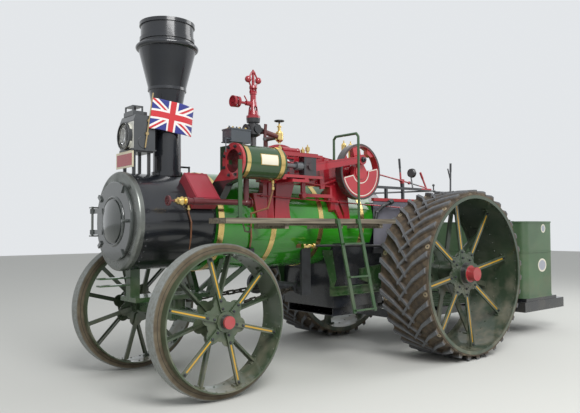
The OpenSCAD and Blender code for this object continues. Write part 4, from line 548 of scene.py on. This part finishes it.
def copies(name, form, places, up, size, material, body, along=(0.3, 0.5, 0.81), smooth=False):
    """One mesh of many copies: each is scaled by size, its Z turned to up and its X towards along.
    size is one number, three numbers, or three for each copy."""
    points, faces = form
    places = np.atleast_2d(np.asarray(places, float))
    z_axis = np.broadcast_to(unit(up), places.shape)
    x_axis = np.broadcast_to(np.asarray(along, float), places.shape)
    x_axis = unit(x_axis - (x_axis * z_axis).sum(1, keepdims=True) * z_axis)
    turn = np.stack([x_axis, np.cross(z_axis, x_axis), z_axis], 1)
    size = np.broadcast_to(np.asarray(size, float), places.shape)
    spread = (points[None] * size[:, None]) @ turn + places[:, None]
    every = faces[None] + len(points) * np.arange(len(places))[:, None, None]
    return surface(name, spread.reshape(-1, 3), every.reshape(-1, faces.shape[1]), material, body,
                   smooth)


def around_y(x, z, radius, y, angles):
    """Places on circles round a line along Y: angle 0 is straight up and grows towards the front."""
    angles, radius, y = np.broadcast_arrays(np.asarray(angles, float), radius, y)
    return np.stack([x + radius * np.sin(angles), y, z + radius * np.cos(angles)], -1).reshape(-1, 3)


def around_x(x, z, radius, angles):
    """Places on circles round a line along X: angle 0 is straight up and grows towards the left."""
    angles, x, radius = np.broadcast_arrays(np.asarray(angles, float), x, radius)
    return np.stack([x, radius * np.sin(angles), z + radius * np.cos(angles)], -1).reshape(-1, 3)


yellow_line = paint("lining_golden_yellow", "#c99a1e", "#b58a24", roughness=0.4, coat=0.3, dust=0.2)
white_line = paint("lining_white", "#dcd8cc", "#c9c4b6", roughness=0.4, coat=0.3, dust=0.05)
dark_steel = metal("black_bolt_steel", "#43454a", "#2c2a28", 0.4, grain=200.0, metallic=0.6)
print("lines and bolts:", yellow_line.name, white_line.name, dark_steel.name)

# %% [markdown]
# Painted lines, the rims of transfers and thin curved plates are one more form: a ribbon, which is a
# strip that follows a path and lies flat on a surface. Its two long sides and its two faces are drawn
# at each station of the path, half a width to either side of it.

# %% Ribbons and slabs
def ribbon(name, path, up, width, material, body, thick=0.0012, closed=False):
    """A strip along a path. At each station its corners are path +- across*width/2 +- up*thick/2,
    where across is at right angles to both up and the path's direction."""
    path = np.asarray(path, float)
    up = unit(np.broadcast_to(np.asarray(up, float), path.shape))
    if closed:
        along = np.roll(path, -1, 0) - np.roll(path, 1, 0)
    else:
        along = np.gradient(path, axis=0)
    across = unit(np.cross(up, along)) * width / 2
    rise = up * thick / 2
    points = np.stack([path + across + rise, path - across + rise, path - across - rise,
                       path + across - rise], 1)
    count = len(path)
    here = np.arange(count if closed else count - 1)[:, None] * 4
    ahead = (here + 4) % (count * 4)
    k, n = np.arange(4), (np.arange(4) + 1) % 4
    faces = np.stack([here + k, here + n, ahead + n, ahead + k], -1).reshape(-1, 4)
    if not closed:
        faces = np.vstack([faces, [3, 2, 1, 0], np.arange(4) + 4 * (count - 1)])
    return surface(name, points.reshape(-1, 3), faces, material, body)


def slab(name, low, high, material, body):
    """A plain plate between two corners."""
    low, high = np.array(low, float), np.array(high, float)
    return copies(name, BAR, (low + high) / 2, (0, 0, 1), high - low, material, body, along=(1, 0, 0))


print("ribbons ready")

# %% [markdown]
# The wheels are riveted from plate: rings of round heads inside the rim, four heads where each
# spoke's foot meets the rim, one bolt at the outer end of a spoke and two at the hub, and round heads
# beside them in the hub plate. One yellow line runs down the middle of every outer spoke. The front
# spokes are T-irons: the solid is the web, and the flat that faces out or in is laid on it here. All
# of it turns with its wheel.

# %% Sizes of the wheels' trim, in metres from the axle and the wheel's side
# rim: radius that the rim's heads sit on; foot: thickness of a spoke's foot inside it
# phase: first outer spoke in degrees; half: half of a foot's width; foot_y: middle of the feet
# face and lean: the spokes' outer face lies at y = face + lean * radius
# bolts: their radii; plate: how far the hub plate lies behind the face
# beside: radius and sideways offset of the hub plate's heads; line: start, end and width
# rows: the rim's rows of heads; head: radius of a head
WHEELS = {
    "rear": dict(x=axle_x, z=axle_z, rim=rear_rim_r - 0.014, foot=0.012, spokes=8, phase=10,
                 half=0.030, foot_y=rear_side_y - 0.206, face=rear_side_y - 0.168, lean=0.0,
                 bolts=(0.17, 0.235, 0.79), plate=0.003, beside=((0.165, 0.046), (0.225, 0.048)),
                 line=(0.265, 0.765, 0.015), head=0.010,
                 rows=(rear_side_y - 0.05, rear_side_y - 0.30, rear_side_y - 0.52)),
    "front": dict(x=front_x, z=front_z, rim=front_rim_r - 0.012, foot=0.012, spokes=6, phase=15,
                  half=0.020, foot_y=front_side_y - 0.127, face=front_side_y - 0.056, lean=-0.034,
                  bolts=(0.112, 0.178, 0.525), plate=0.018, beside=((0.185, 0.034),),
                  line=(0.200, 0.505, 0.012), head=0.009,
                  rows=(front_side_y - 0.05, front_side_y - 0.235)),
}
RIM_HEADS_PER_SPOKE, FOOT_SHARES = 6, (-1.3, -0.45, 0.45, 1.3)
BOLT_TO_HEAD, PLATE_HEAD_TO_HEAD, LINE_T = 1.25, 0.85, 0.0014
print("trim for", len(WHEELS), "kinds of wheel")

# %% Wheels: rivets, bolts and lining
def trim_wheel(wheel, side, x, z, rim, foot, spokes, phase, half, foot_y, face, lean, bolts, plate,
               beside, line, head, rows):
    """Heads, bolts and lines of one wheel. A spoke's face lies at y = face + lean * r from the middle."""
    finish, middle, sign = OWN_FINISH[wheel], np.array((x, 0, z)), np.array([1, side, 1])

    def round_heads(kind, spots, up, size):
        """One row of rivets on this wheel."""
        copies(f"{wheel}_{kind}", HEAD, spots * sign, up, size, finish, wheel, smooth=True)

    count = spokes * RIM_HEADS_PER_SPOKE
    around_rim = np.arange(count) * 2 * np.pi / count
    spots = np.concatenate([around_y(x, z, rim, y, around_rim) for y in rows])
    round_heads("rim_rivets", spots, middle - spots * (1, 0, 1), head)
    angles = np.radians(phase) + np.arange(spokes) * 2 * np.pi / spokes
    spots = np.concatenate([around_y(x, z, rim - foot, foot_y, angles + share * half / rim)
                            for share in FOOT_SHARES])
    round_heads("foot_rivets", spots, middle - spots * (1, 0, 1), head)
    out = around_y(0, 0, 1.0, 0, angles)
    normal = (np.array((0, 1, 0)) - lean * out) * sign
    spots = np.concatenate([around_y(x, z, r, face + lean * r, angles) for r in bolts])
    copies(f"{wheel}_hub_bolts", NUT, spots * sign, np.tile(normal, (len(bolts), 1)),
           head * BOLT_TO_HEAD, dark_steel, wheel)
    across = np.stack([out[:, 2], np.zeros(spokes), -out[:, 0]], 1)
    plate_y = face + lean * beside[0][0] - plate
    spots = np.concatenate([around_y(x, z, r, plate_y, angles) + across * way * offset
                            for r, offset in beside for way in (-1, 1)])
    round_heads("plate_rivets", spots, (0, side, 0), head * PLATE_HEAD_TO_HEAD)
    start, end, width = line
    line_r = (start + end) / 2
    spots = around_y(x, z, line_r, face + lean * line_r, angles)
    copies(f"{wheel}_lining", BAR, spots * sign, normal, (end - start, width, LINE_T), yellow_line,
           wheel, along=(out + (0, lean, 0)) * sign)


# Length, width and thickness of a flat, the radius of its middle, and for each row its first
# spoke in degrees and the start and slope of its line y = start + slope * r
FLAT, FLAT_R = (0.45, 0.040, 0.006), 0.315
FLAT_ROWS = {"outer": (15, front_side_y - 0.0592, -0.034),
             "inner": (45, front_low[1] + 0.0435, 0.0346)}


def spoke_flats(wheel, side):
    """The flats of the front wheels' T-iron spokes: bars on the outer row's outside and on the inner
    row's inside, each along its spoke from the hub to the rim."""
    sign, count = np.array([1, side, 1]), WHEELS["front"]["spokes"]
    for row, (phase, start, slope) in FLAT_ROWS.items():
        out = around_y(0, 0, 1.0, 0, np.radians(phase + np.arange(count) * 360 / count))
        normal = (np.array((0, 1, 0)) - slope * out) * sign
        spots = out * FLAT_R + (front_x, start + slope * FLAT_R, front_z)
        copies(f"{wheel}_{row}_spoke_flats", BAR, spots * sign, normal, FLAT, OWN_FINISH[wheel], wheel,
               along=(out + (0, slope, 0)) * sign)


for end, sizes in WHEELS.items():
    for side, hand in ((1, "left"), (-1, "right")):
        trim_wheel(f"{end}_{hand}_wheel", side, **sizes)
for side, hand in ((1, "left"), (-1, "right")):
    spoke_flats(f"front_{hand}_wheel", side)
print("wheels trimmed")

# %% [markdown]
# The rear lugs stand on a rubber band that is bolted to the steel rim. A washer and a bolt sit in the
# gap beside every third lug, near each edge of the band.

# %% Washers between the rear lugs
LUGS, BAND_T, WASHER_Y = 34, 0.015, 0.262
WASHER, BAND_BOLT = (0.026, 0.026, 0.004), (0.009, 0.009, 0.006)  # radii and height
EDGE_STARTS = ((1, 0.5), (-1, 1.0))  # outer and inner edge, and its first washer in lugs
tyre_mid_y = (rear_low[1] + rear_high[1]) / 2
washer_steel = metal("rusted_washer_steel", "#b5a68a", "#5f5648", 0.5, grain=200.0, metallic=0.4)


def lug_washers(wheel, side):
    """Washers on the band's circle at (start + 3 n) / LUGS of a turn, along both of its edges."""
    spots = []
    for edge, start in EDGE_STARTS:
        turn = (np.arange(0, LUGS - 1, 3) + start) * 2 * np.pi / LUGS
        spots.append(around_y(axle_x, axle_z, rear_rim_r + BAND_T, tyre_mid_y + edge * WASHER_Y, turn))
    spots = np.concatenate(spots)
    out = unit(spots * (1, 0, 1) - (axle_x, 0, axle_z))
    sign = np.array([1, side, 1])
    copies(wheel + "_band_washers", DISC, spots * sign, out, WASHER, washer_steel, wheel)
    copies(wheel + "_band_bolts", NUT, spots * sign, out, BAND_BOLT, dark_steel, wheel)


lug_washers("rear_left_wheel", 1)
lug_washers("rear_right_wheel", -1)
print("tyre bands bolted")

# %% [markdown]
# The crank disc is lined in white round its solid half: an arc along the rim, an arc round the hub
# and the straight lines that join their ends. The line is worked out flat, then turned with the crank
# and laid on the disc's face. A nut closes the crank pin.

# %% Lining on the crank disc
CRANK_TURN, CRANK_THROW = math.radians(13), 0.122
PIN_OUT, WEIGHT_BEHIND = 0.022, 0.061  # pin's end past the rod's middle, weight's face behind it
weight_face = disc_high[1] - WEIGHT_BEHIND
crank_x = disc_mid[0]


def on_disc(flat):
    """Points (along, up) of the disc at rest, turned by the crank's angle and laid on its face."""
    flat = np.asarray(flat, float)
    x = flat[:, 0] * math.cos(CRANK_TURN) + flat[:, 1] * math.sin(CRANK_TURN)
    z = flat[:, 1] * math.cos(CRANK_TURN) - flat[:, 0] * math.sin(CRANK_TURN)
    return np.stack([crank_x + x, np.full(len(flat), weight_face), engine_z + z], 1)


def arc(radius, start, end, count):
    """Points of an arc round the middle, angles in degrees from the along axis."""
    turn = np.radians(np.linspace(start, end, count))
    return np.stack([radius * np.cos(turn), radius * np.sin(turn)], 1)


weight_line = np.vstack([arc(0.250, 184, 356, 60), arc(0.118, 352, 188, 30)])
ribbon("crank_disc_white_line", on_disc(weight_line), (0, 1, 0), 0.010, white_line, "root", closed=True)
pin_end = (crank_x + CRANK_THROW * math.sin(CRANK_TURN), engine_y + PIN_OUT,
           engine_z + CRANK_THROW * math.cos(CRANK_TURN))
copies("crank_pin_nut", NUT, pin_end, (0, 1, 0), 0.026, dark_steel, "root")
print("crank disc lined, pin's end at", pin_end)

# %% [markdown]
# Small plates: the cylinder's plate is bare cream inside its brass edge, and the plate under the lamp
# is bare red inside a cream edge. The tank has two bare round transfers, each a disc inside a rim.

# %% Plates and transfers
cream = paint("cream_enamel_plate", "#e6e1d0", "#d6cfba", roughness=0.25, coat=0.5, dust=0.05)
plate_red = paint("red_enamel_plate", "#b0323a", "#9a2a31", roughness=0.25, coat=0.5, dust=0.05)
transfer_middle = paint("transfer_pale_centre", "#a9a8b4", "#8f9aa0", roughness=0.35, coat=0.4,
                        dust=0.1)

PLATE_X, PLATE_R, PLATE_W, PLATE_STATIONS = 2.415, 0.1536, 0.180, 17
PLATE_LOW, PLATE_HIGH = -10.2, 22.8  # degrees round the cylinder, from its left side upwards
turn = np.radians(np.linspace(PLATE_LOW, PLATE_HIGH, PLATE_STATIONS))
plate_up = np.stack([np.zeros(PLATE_STATIONS), np.cos(turn), np.sin(turn)], 1)
plate_path = np.array(place(PLATE_X, engine_y, engine_z)) + PLATE_R * plate_up
ribbon("cylinder_cream_plate", plate_path, plate_up, PLATE_W, cream, "root")
slab("lamp_plate_red_panel", place(3.3855, -0.148, 1.942), place(3.3868, 0.148, 2.046), plate_red,
     "root")

TRANSFERS = ((-2.115, 0.889, 0.110, 0.088), (-2.155, 1.375, 0.056, 0.056))  # x, z, half sizes
BAND_OUT, TRANSFER_T = 0.006, 0.0008  # the tank's bands stand out from its side by BAND_OUT
RIM_SHARE, MIDDLE_SHARE, RIM_WIDTH_SHARE = 0.88, 0.82, 0.24
tank_side = span("water_tank")[1][1] - BAND_OUT
circle = np.linspace(0, 2 * np.pi, 48, endpoint=False)
for index, (x, z, half_x, half_z) in enumerate(TRANSFERS):
    rim_path = np.stack([axle_x + x + half_x * RIM_SHARE * np.cos(circle),
                         np.full(len(circle), tank_side + TRANSFER_T),
                         z + half_z * RIM_SHARE * np.sin(circle)], 1)
    copies(f"tank_transfer_{index}", DISC, place(x, tank_side, z), (0, 1, 0),
           (half_x * MIDDLE_SHARE, half_z * MIDDLE_SHARE, TRANSFER_T), transfer_middle, "root",
           along=(1, 0, 0))
    ribbon(f"tank_transfer_rim_{index}", rim_path, (0, 1, 0), RIM_WIDTH_SHARE * half_z, cream, "root",
           closed=True)
print("plates and", len(TRANSFERS), "transfers done")

# %% [markdown]
# The pressure gauge faces the driver. Its dial is a pale disc with 19 plain marks over three quarters
# of a turn, and its needle points at the sixth mark.

# %% Pressure gauge
GAUGE, DIAL_R = place(-0.308, 0.200, 2.066), 0.0465
MARKS, MARK_R, NEEDLE_MARK, NEEDLE_R = 19, 0.037, 5, 0.012
MARK_OUT, NEEDLE_OUT = (0.0008, 0, 0), (0.0014, 0, 0)  # towards the driver from the dial's foot
marks = np.radians(np.linspace(-135, 135, MARKS))
dial_out = np.stack([np.zeros(MARKS), np.sin(marks), np.cos(marks)], 1)
copies("gauge_dial", DISC, GAUGE, (-1, 0, 0), (DIAL_R, DIAL_R, 0.0006), cream, "root")
copies("gauge_marks", BAR, np.array(GAUGE) - MARK_OUT + dial_out * MARK_R, (-1, 0, 0),
       (0.010, 0.0018, 0.0008), dark_steel, "root", along=dial_out)
copies("gauge_needle", BAR, np.array(GAUGE) - NEEDLE_OUT + dial_out[NEEDLE_MARK] * NEEDLE_R, (-1, 0, 0),
       (0.040, 0.0028, 0.0010), dark_steel, "root", along=dial_out[NEEDLE_MARK])
print("gauge's dial at", GAUGE)

# %% [markdown]
# The headlamp's lens is real glass: a shallow dome with a refractive index of 1.5, smooth but for
# faint smears.
# The chimney's mouth is closed by a wire guard of crossing rods.

# %% Lamp glass and chimney guard
glass, glass_tree, glass_shader, glass_where = new_material("clear_lamp_glass")
glass_shader.inputs["Transmission Weight"].default_value = 1.0
glass_shader.inputs["IOR"].default_value = 1.5
smears = speckle(glass_tree, glass_where, 20.0, 0.4, 0.9)
glass_rough = add(glass_tree, "MapRange", {0: smears, 3: 0.02, 4: 0.12}).outputs[0]
glass_tree.links.new(glass_rough, glass_shader.inputs["Roughness"])
bulge = np.radians(np.linspace(0, 84, 9))
DOME = turned_form(np.stack([np.cos(bulge), np.sin(bulge)], 1), 40)
LENS, LENS_R, LENS_RISE = place(3.3803, 0, 2.206), 0.112, 0.016
copies("headlamp_glass", DOME, LENS, (1, 0, 0), (LENS_R, LENS_R, LENS_RISE), glass, "root", smooth=True)

GUARD_R, GUARD_Z, GUARD_STEP, GUARD_ROD = 0.216, 3.262, 0.032, 0.004
offsets = np.arange(-6, 7) * GUARD_STEP
rod = np.full(len(offsets), GUARD_ROD)
rod_sizes = np.stack([2 * np.sqrt(GUARD_R ** 2 - offsets ** 2), rod, rod], 1)
chimney_place = np.array(place(2.968, 0, GUARD_Z))
for name, way, across, lift in (("along", (1, 0, 0), (0, 1, 0), GUARD_ROD / 2),
                                ("across", (0, 1, 0), (1, 0, 0), -GUARD_ROD / 2)):
    spots = chimney_place + np.outer(offsets, across) + (0, 0, lift)
    copies("chimney_guard_" + name, BAR, spots, (0, 0, 1), rod_sizes, dark_steel, "root", along=way)
print("glass and guard done")

# %% [markdown]
# Sheet seams and castings are held by rows of heads: round rivets on the smokebox, six-sided nuts
# along the engine's girder and on the lubricator.

# %% Rivets and nuts on the body
SMOKEBOX_R, REAR_SEAM_X, FRONT_SEAM_X = 0.4225, 2.719, 3.365
seam = np.radians(np.arange(24, 337, 8))
seam_out = around_x(0, 0, 1.0, seam)
for name, x, head in (("rear", REAR_SEAM_X, 0.008), ("front", FRONT_SEAM_X, 0.009)):
    copies(f"smokebox_{name}_rivets", HEAD, around_x(x + axle_x, boiler_z, SMOKEBOX_R, seam), seam_out,
           head, smokebox_black, "root", smooth=True)
girder_spots = [place(x, 0.500, z) for x in np.arange(1.20, 2.20, 0.125) for z in (1.845, 2.035)]
copies("girder_nuts", NUT, girder_spots, (0, 1, 0), 0.010, engine_red, "root")
lubricator_spots = [place(x, y, 2.269) for x in (2.53, 2.60, 2.67) for y in (0.555, 0.625)]
copies("lubricator_nuts", NUT, lubricator_spots, (0, 0, 1), 0.012, brass, "root")
print("body riveted")

# %% [markdown]
# The flag is a sheet of printed cotton on the stick beside the lamp. Its crosses are worked out in the
# material, from the distances to the sheet's middle lines and to its two diagonals, so they follow the
# cloth. Its threads are drawn 1.4 mm apart, which is coarser than they are, so that they show.

# %% Printed cotton
FLY, HOIST = 0.44, 0.276
printed, flag_tree, flag_shader, _ = new_material("printed_cotton_flag")
flat = add(flag_tree, "Attribute", attribute_name="cloth_place").outputs["Vector"]
parts = add(flag_tree, "SeparateXYZ", {0: flat}).outputs


def sum_of(operation, *values):
    """A sum in the flag's tree that may leave the range 0 to 1."""
    return math_of(flag_tree, operation, *values, clamp=False)


slope = HOIST / FLY
reach_x, reach_y = sum_of("ABSOLUTE", parts[0]), sum_of("ABSOLUTE", parts[1])
upright = sum_of("MINIMUM", reach_x, reach_y)
fall = sum_of("SUBTRACT", reach_y, sum_of("MULTIPLY", reach_x, slope))
slant = sum_of("DIVIDE", sum_of("ABSOLUTE", fall), math.sqrt(1 + slope ** 2))
flag_colour = linear("#2c3480")
for width, distance, colour in ((0.10, slant, "#e4e2de"), (0.035, slant, "#c22f35"),
                                (0.165, upright, "#e4e2de"), (0.10, upright, "#c22f35")):
    flag_colour = mixed(flag_tree, sum_of("LESS_THAN", distance, width), flag_colour, linear(colour))
flag_tree.links.new(flag_colour, flag_shader.inputs["Base Color"])
flag_shader.inputs["Roughness"].default_value = 0.8
flag_shader.inputs["Sheen Weight"].default_value = 0.3
threads = add(flag_tree, "TexWave", {"Vector": flat, "Scale": 60.0}).outputs[1]
bump(flag_tree, flag_shader, threads, strength=0.3, distance=0.0004)
print("cloth printed")

# %% [markdown]
# The sheet's surface is a formula: s runs along it and t up it, from 0 to 1. The hoist edge follows
# the stick, the cloth waves sideways by 0.020 s^0.8 sin(2 pi (1.5 s + 0.2 t)) and hangs down by
# 0.035 s^1.5 - 0.008 s sin(5.5 s) metres. The waves take up some of its length, so it reaches only
# 0.424 m back. Two such faces, one thickness apart and joined round the edge, close the sheet.

# %% Flag
COLS, ROWS, CLOTH_T, BACK_REACH = 56, 32, 0.0009, 0.424
stick_line = np.array([place(3.2322, 0.1585, 2.272), place(3.1922, 0.1585, 2.545)])
s_share, t_share = np.meshgrid(np.linspace(0, 1, COLS), np.linspace(0, 1, ROWS), indexing="ij")
hoist = stick_line[0] + t_share[..., None] * (stick_line[1] - stick_line[0])
wave = 0.020 * s_share ** 0.8 * np.sin(2 * np.pi * (1.5 * s_share + 0.2 * t_share))
sag = -0.035 * s_share ** 1.5 + 0.008 * np.sin(5.5 * s_share) * s_share
flag_mid = hoist + np.stack([-BACK_REACH * s_share, wave, sag], -1)
along_s, along_t = np.gradient(flag_mid, axis=0), np.gradient(flag_mid, axis=1)
flag_out = np.cross(along_t, along_s)
flag_out /= np.linalg.norm(flag_out, axis=-1, keepdims=True)
both = np.stack([flag_mid + flag_out * CLOTH_T / 2, flag_mid - flag_out * CLOTH_T / 2]).reshape(-1, 3)
index = np.arange(COLS * ROWS).reshape(COLS, ROWS)
near = np.stack([index[:-1, :-1], index[:-1, 1:], index[1:, 1:], index[1:, :-1]], -1).reshape(-1, 4)
edge = np.concatenate([index[:-1, 0], index[-1, :-1], index[:0:-1, -1], index[0, :0:-1]])
after, back = np.roll(edge, -1), COLS * ROWS
rim_faces = np.stack([edge, after, after + back, edge + back], 1)
flag_faces = np.vstack([near, near[:, ::-1] + back, rim_faces])
flag_cloth = surface("flag_cloth", both, flag_faces, printed, "root", smooth=True)
spot = flag_cloth.data.attributes.new("cloth_place", "FLOAT_VECTOR", "POINT")
flat_place = np.stack([(s_share - 0.5) * FLY / HOIST, t_share - 0.5, np.zeros_like(s_share)], -1)
spot.data.foreach_set("vector", np.tile(flat_place.reshape(-1, 3), (2, 1)).ravel())
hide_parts("flag")
print("flag hung:", len(both), "corners")

# %% [markdown]
# The studio is a pale floor and a pale surround, with a large soft lamp from the front left and a
# weaker one from the rear left, like the bright part of a cloudy sky. Rays that come straight from
# the camera, off gloss or through glass see a brighter surround than the one that lights the engine,
# so that metal has something to reflect.

# %% Floor and surround
FLOOR_HALF, LIT_STRENGTH, SEEN_STRENGTH = 30.0, 0.62, 0.92
floor_mesh = bpy.data.meshes.new("studio_floor")
floor_mesh.from_pydata([(-FLOOR_HALF, -FLOOR_HALF, 0), (FLOOR_HALF, -FLOOR_HALF, 0),
                        (FLOOR_HALF, FLOOR_HALF, 0), (-FLOOR_HALF, FLOOR_HALF, 0)], [], [(0, 1, 2, 3)])
floor = bpy.data.objects.new("studio_floor", floor_mesh)
bpy.context.scene.collection.objects.link(floor)
floor_material, _, floor_shader, _ = new_material("pale_studio_floor")
floor_shader.inputs["Base Color"].default_value = linear("#cfcfca")
floor_shader.inputs["Roughness"].default_value = 0.9
floor_mesh.materials.append(floor_material)

world = bpy.data.worlds.new("pale_surround")
bpy.context.scene.world = world
world.use_nodes = True
surround = world.node_tree
rays = add(surround, "LightPath").outputs
seen = math_of(surround, "MAXIMUM", rays["Is Camera Ray"], rays["Is Glossy Ray"])
seen = math_of(surround, "MAXIMUM", seen, rays["Is Transmission Ray"])
strength = add(surround, "MapRange", {0: seen, 3: LIT_STRENGTH, 4: SEEN_STRENGTH}).outputs[0]
surround.links.new(strength, surround.nodes["Background"].inputs["Strength"])
surround.nodes["Background"].inputs["Color"].default_value = linear("#eceff2")
print("floor and surround ready")

# %% Lamps
def soft_lamp(name, at, aim, size, power):
    """A square lamp at a place, turned to face the aim."""
    lamp = bpy.data.lights.new(name, "AREA")
    lamp.size, lamp.energy = size, power
    thing = bpy.data.objects.new(name, lamp)
    bpy.context.scene.collection.objects.link(thing)
    away = np.array(at, float) - np.array(aim, float)
    away /= np.linalg.norm(away)
    level = np.cross((0, 0, 1), away)
    level /= np.linalg.norm(level)
    pose = np.eye(4)
    pose[:3, 0], pose[:3, 1], pose[:3, 2], pose[:3, 3] = level, np.cross(away, level), away, at
    thing.matrix_world = Matrix(pose.tolist())


soft_lamp("key_lamp", (4.0, 7.5, 8.0), (0, 0, 1), 5.0, 900)
soft_lamp("fill_lamp", (-7.0, 3.0, 6.0), (0, 0, 1), 5.0, 250)
bpy.context.scene.view_settings.view_transform = "Standard"
print("studio lit")
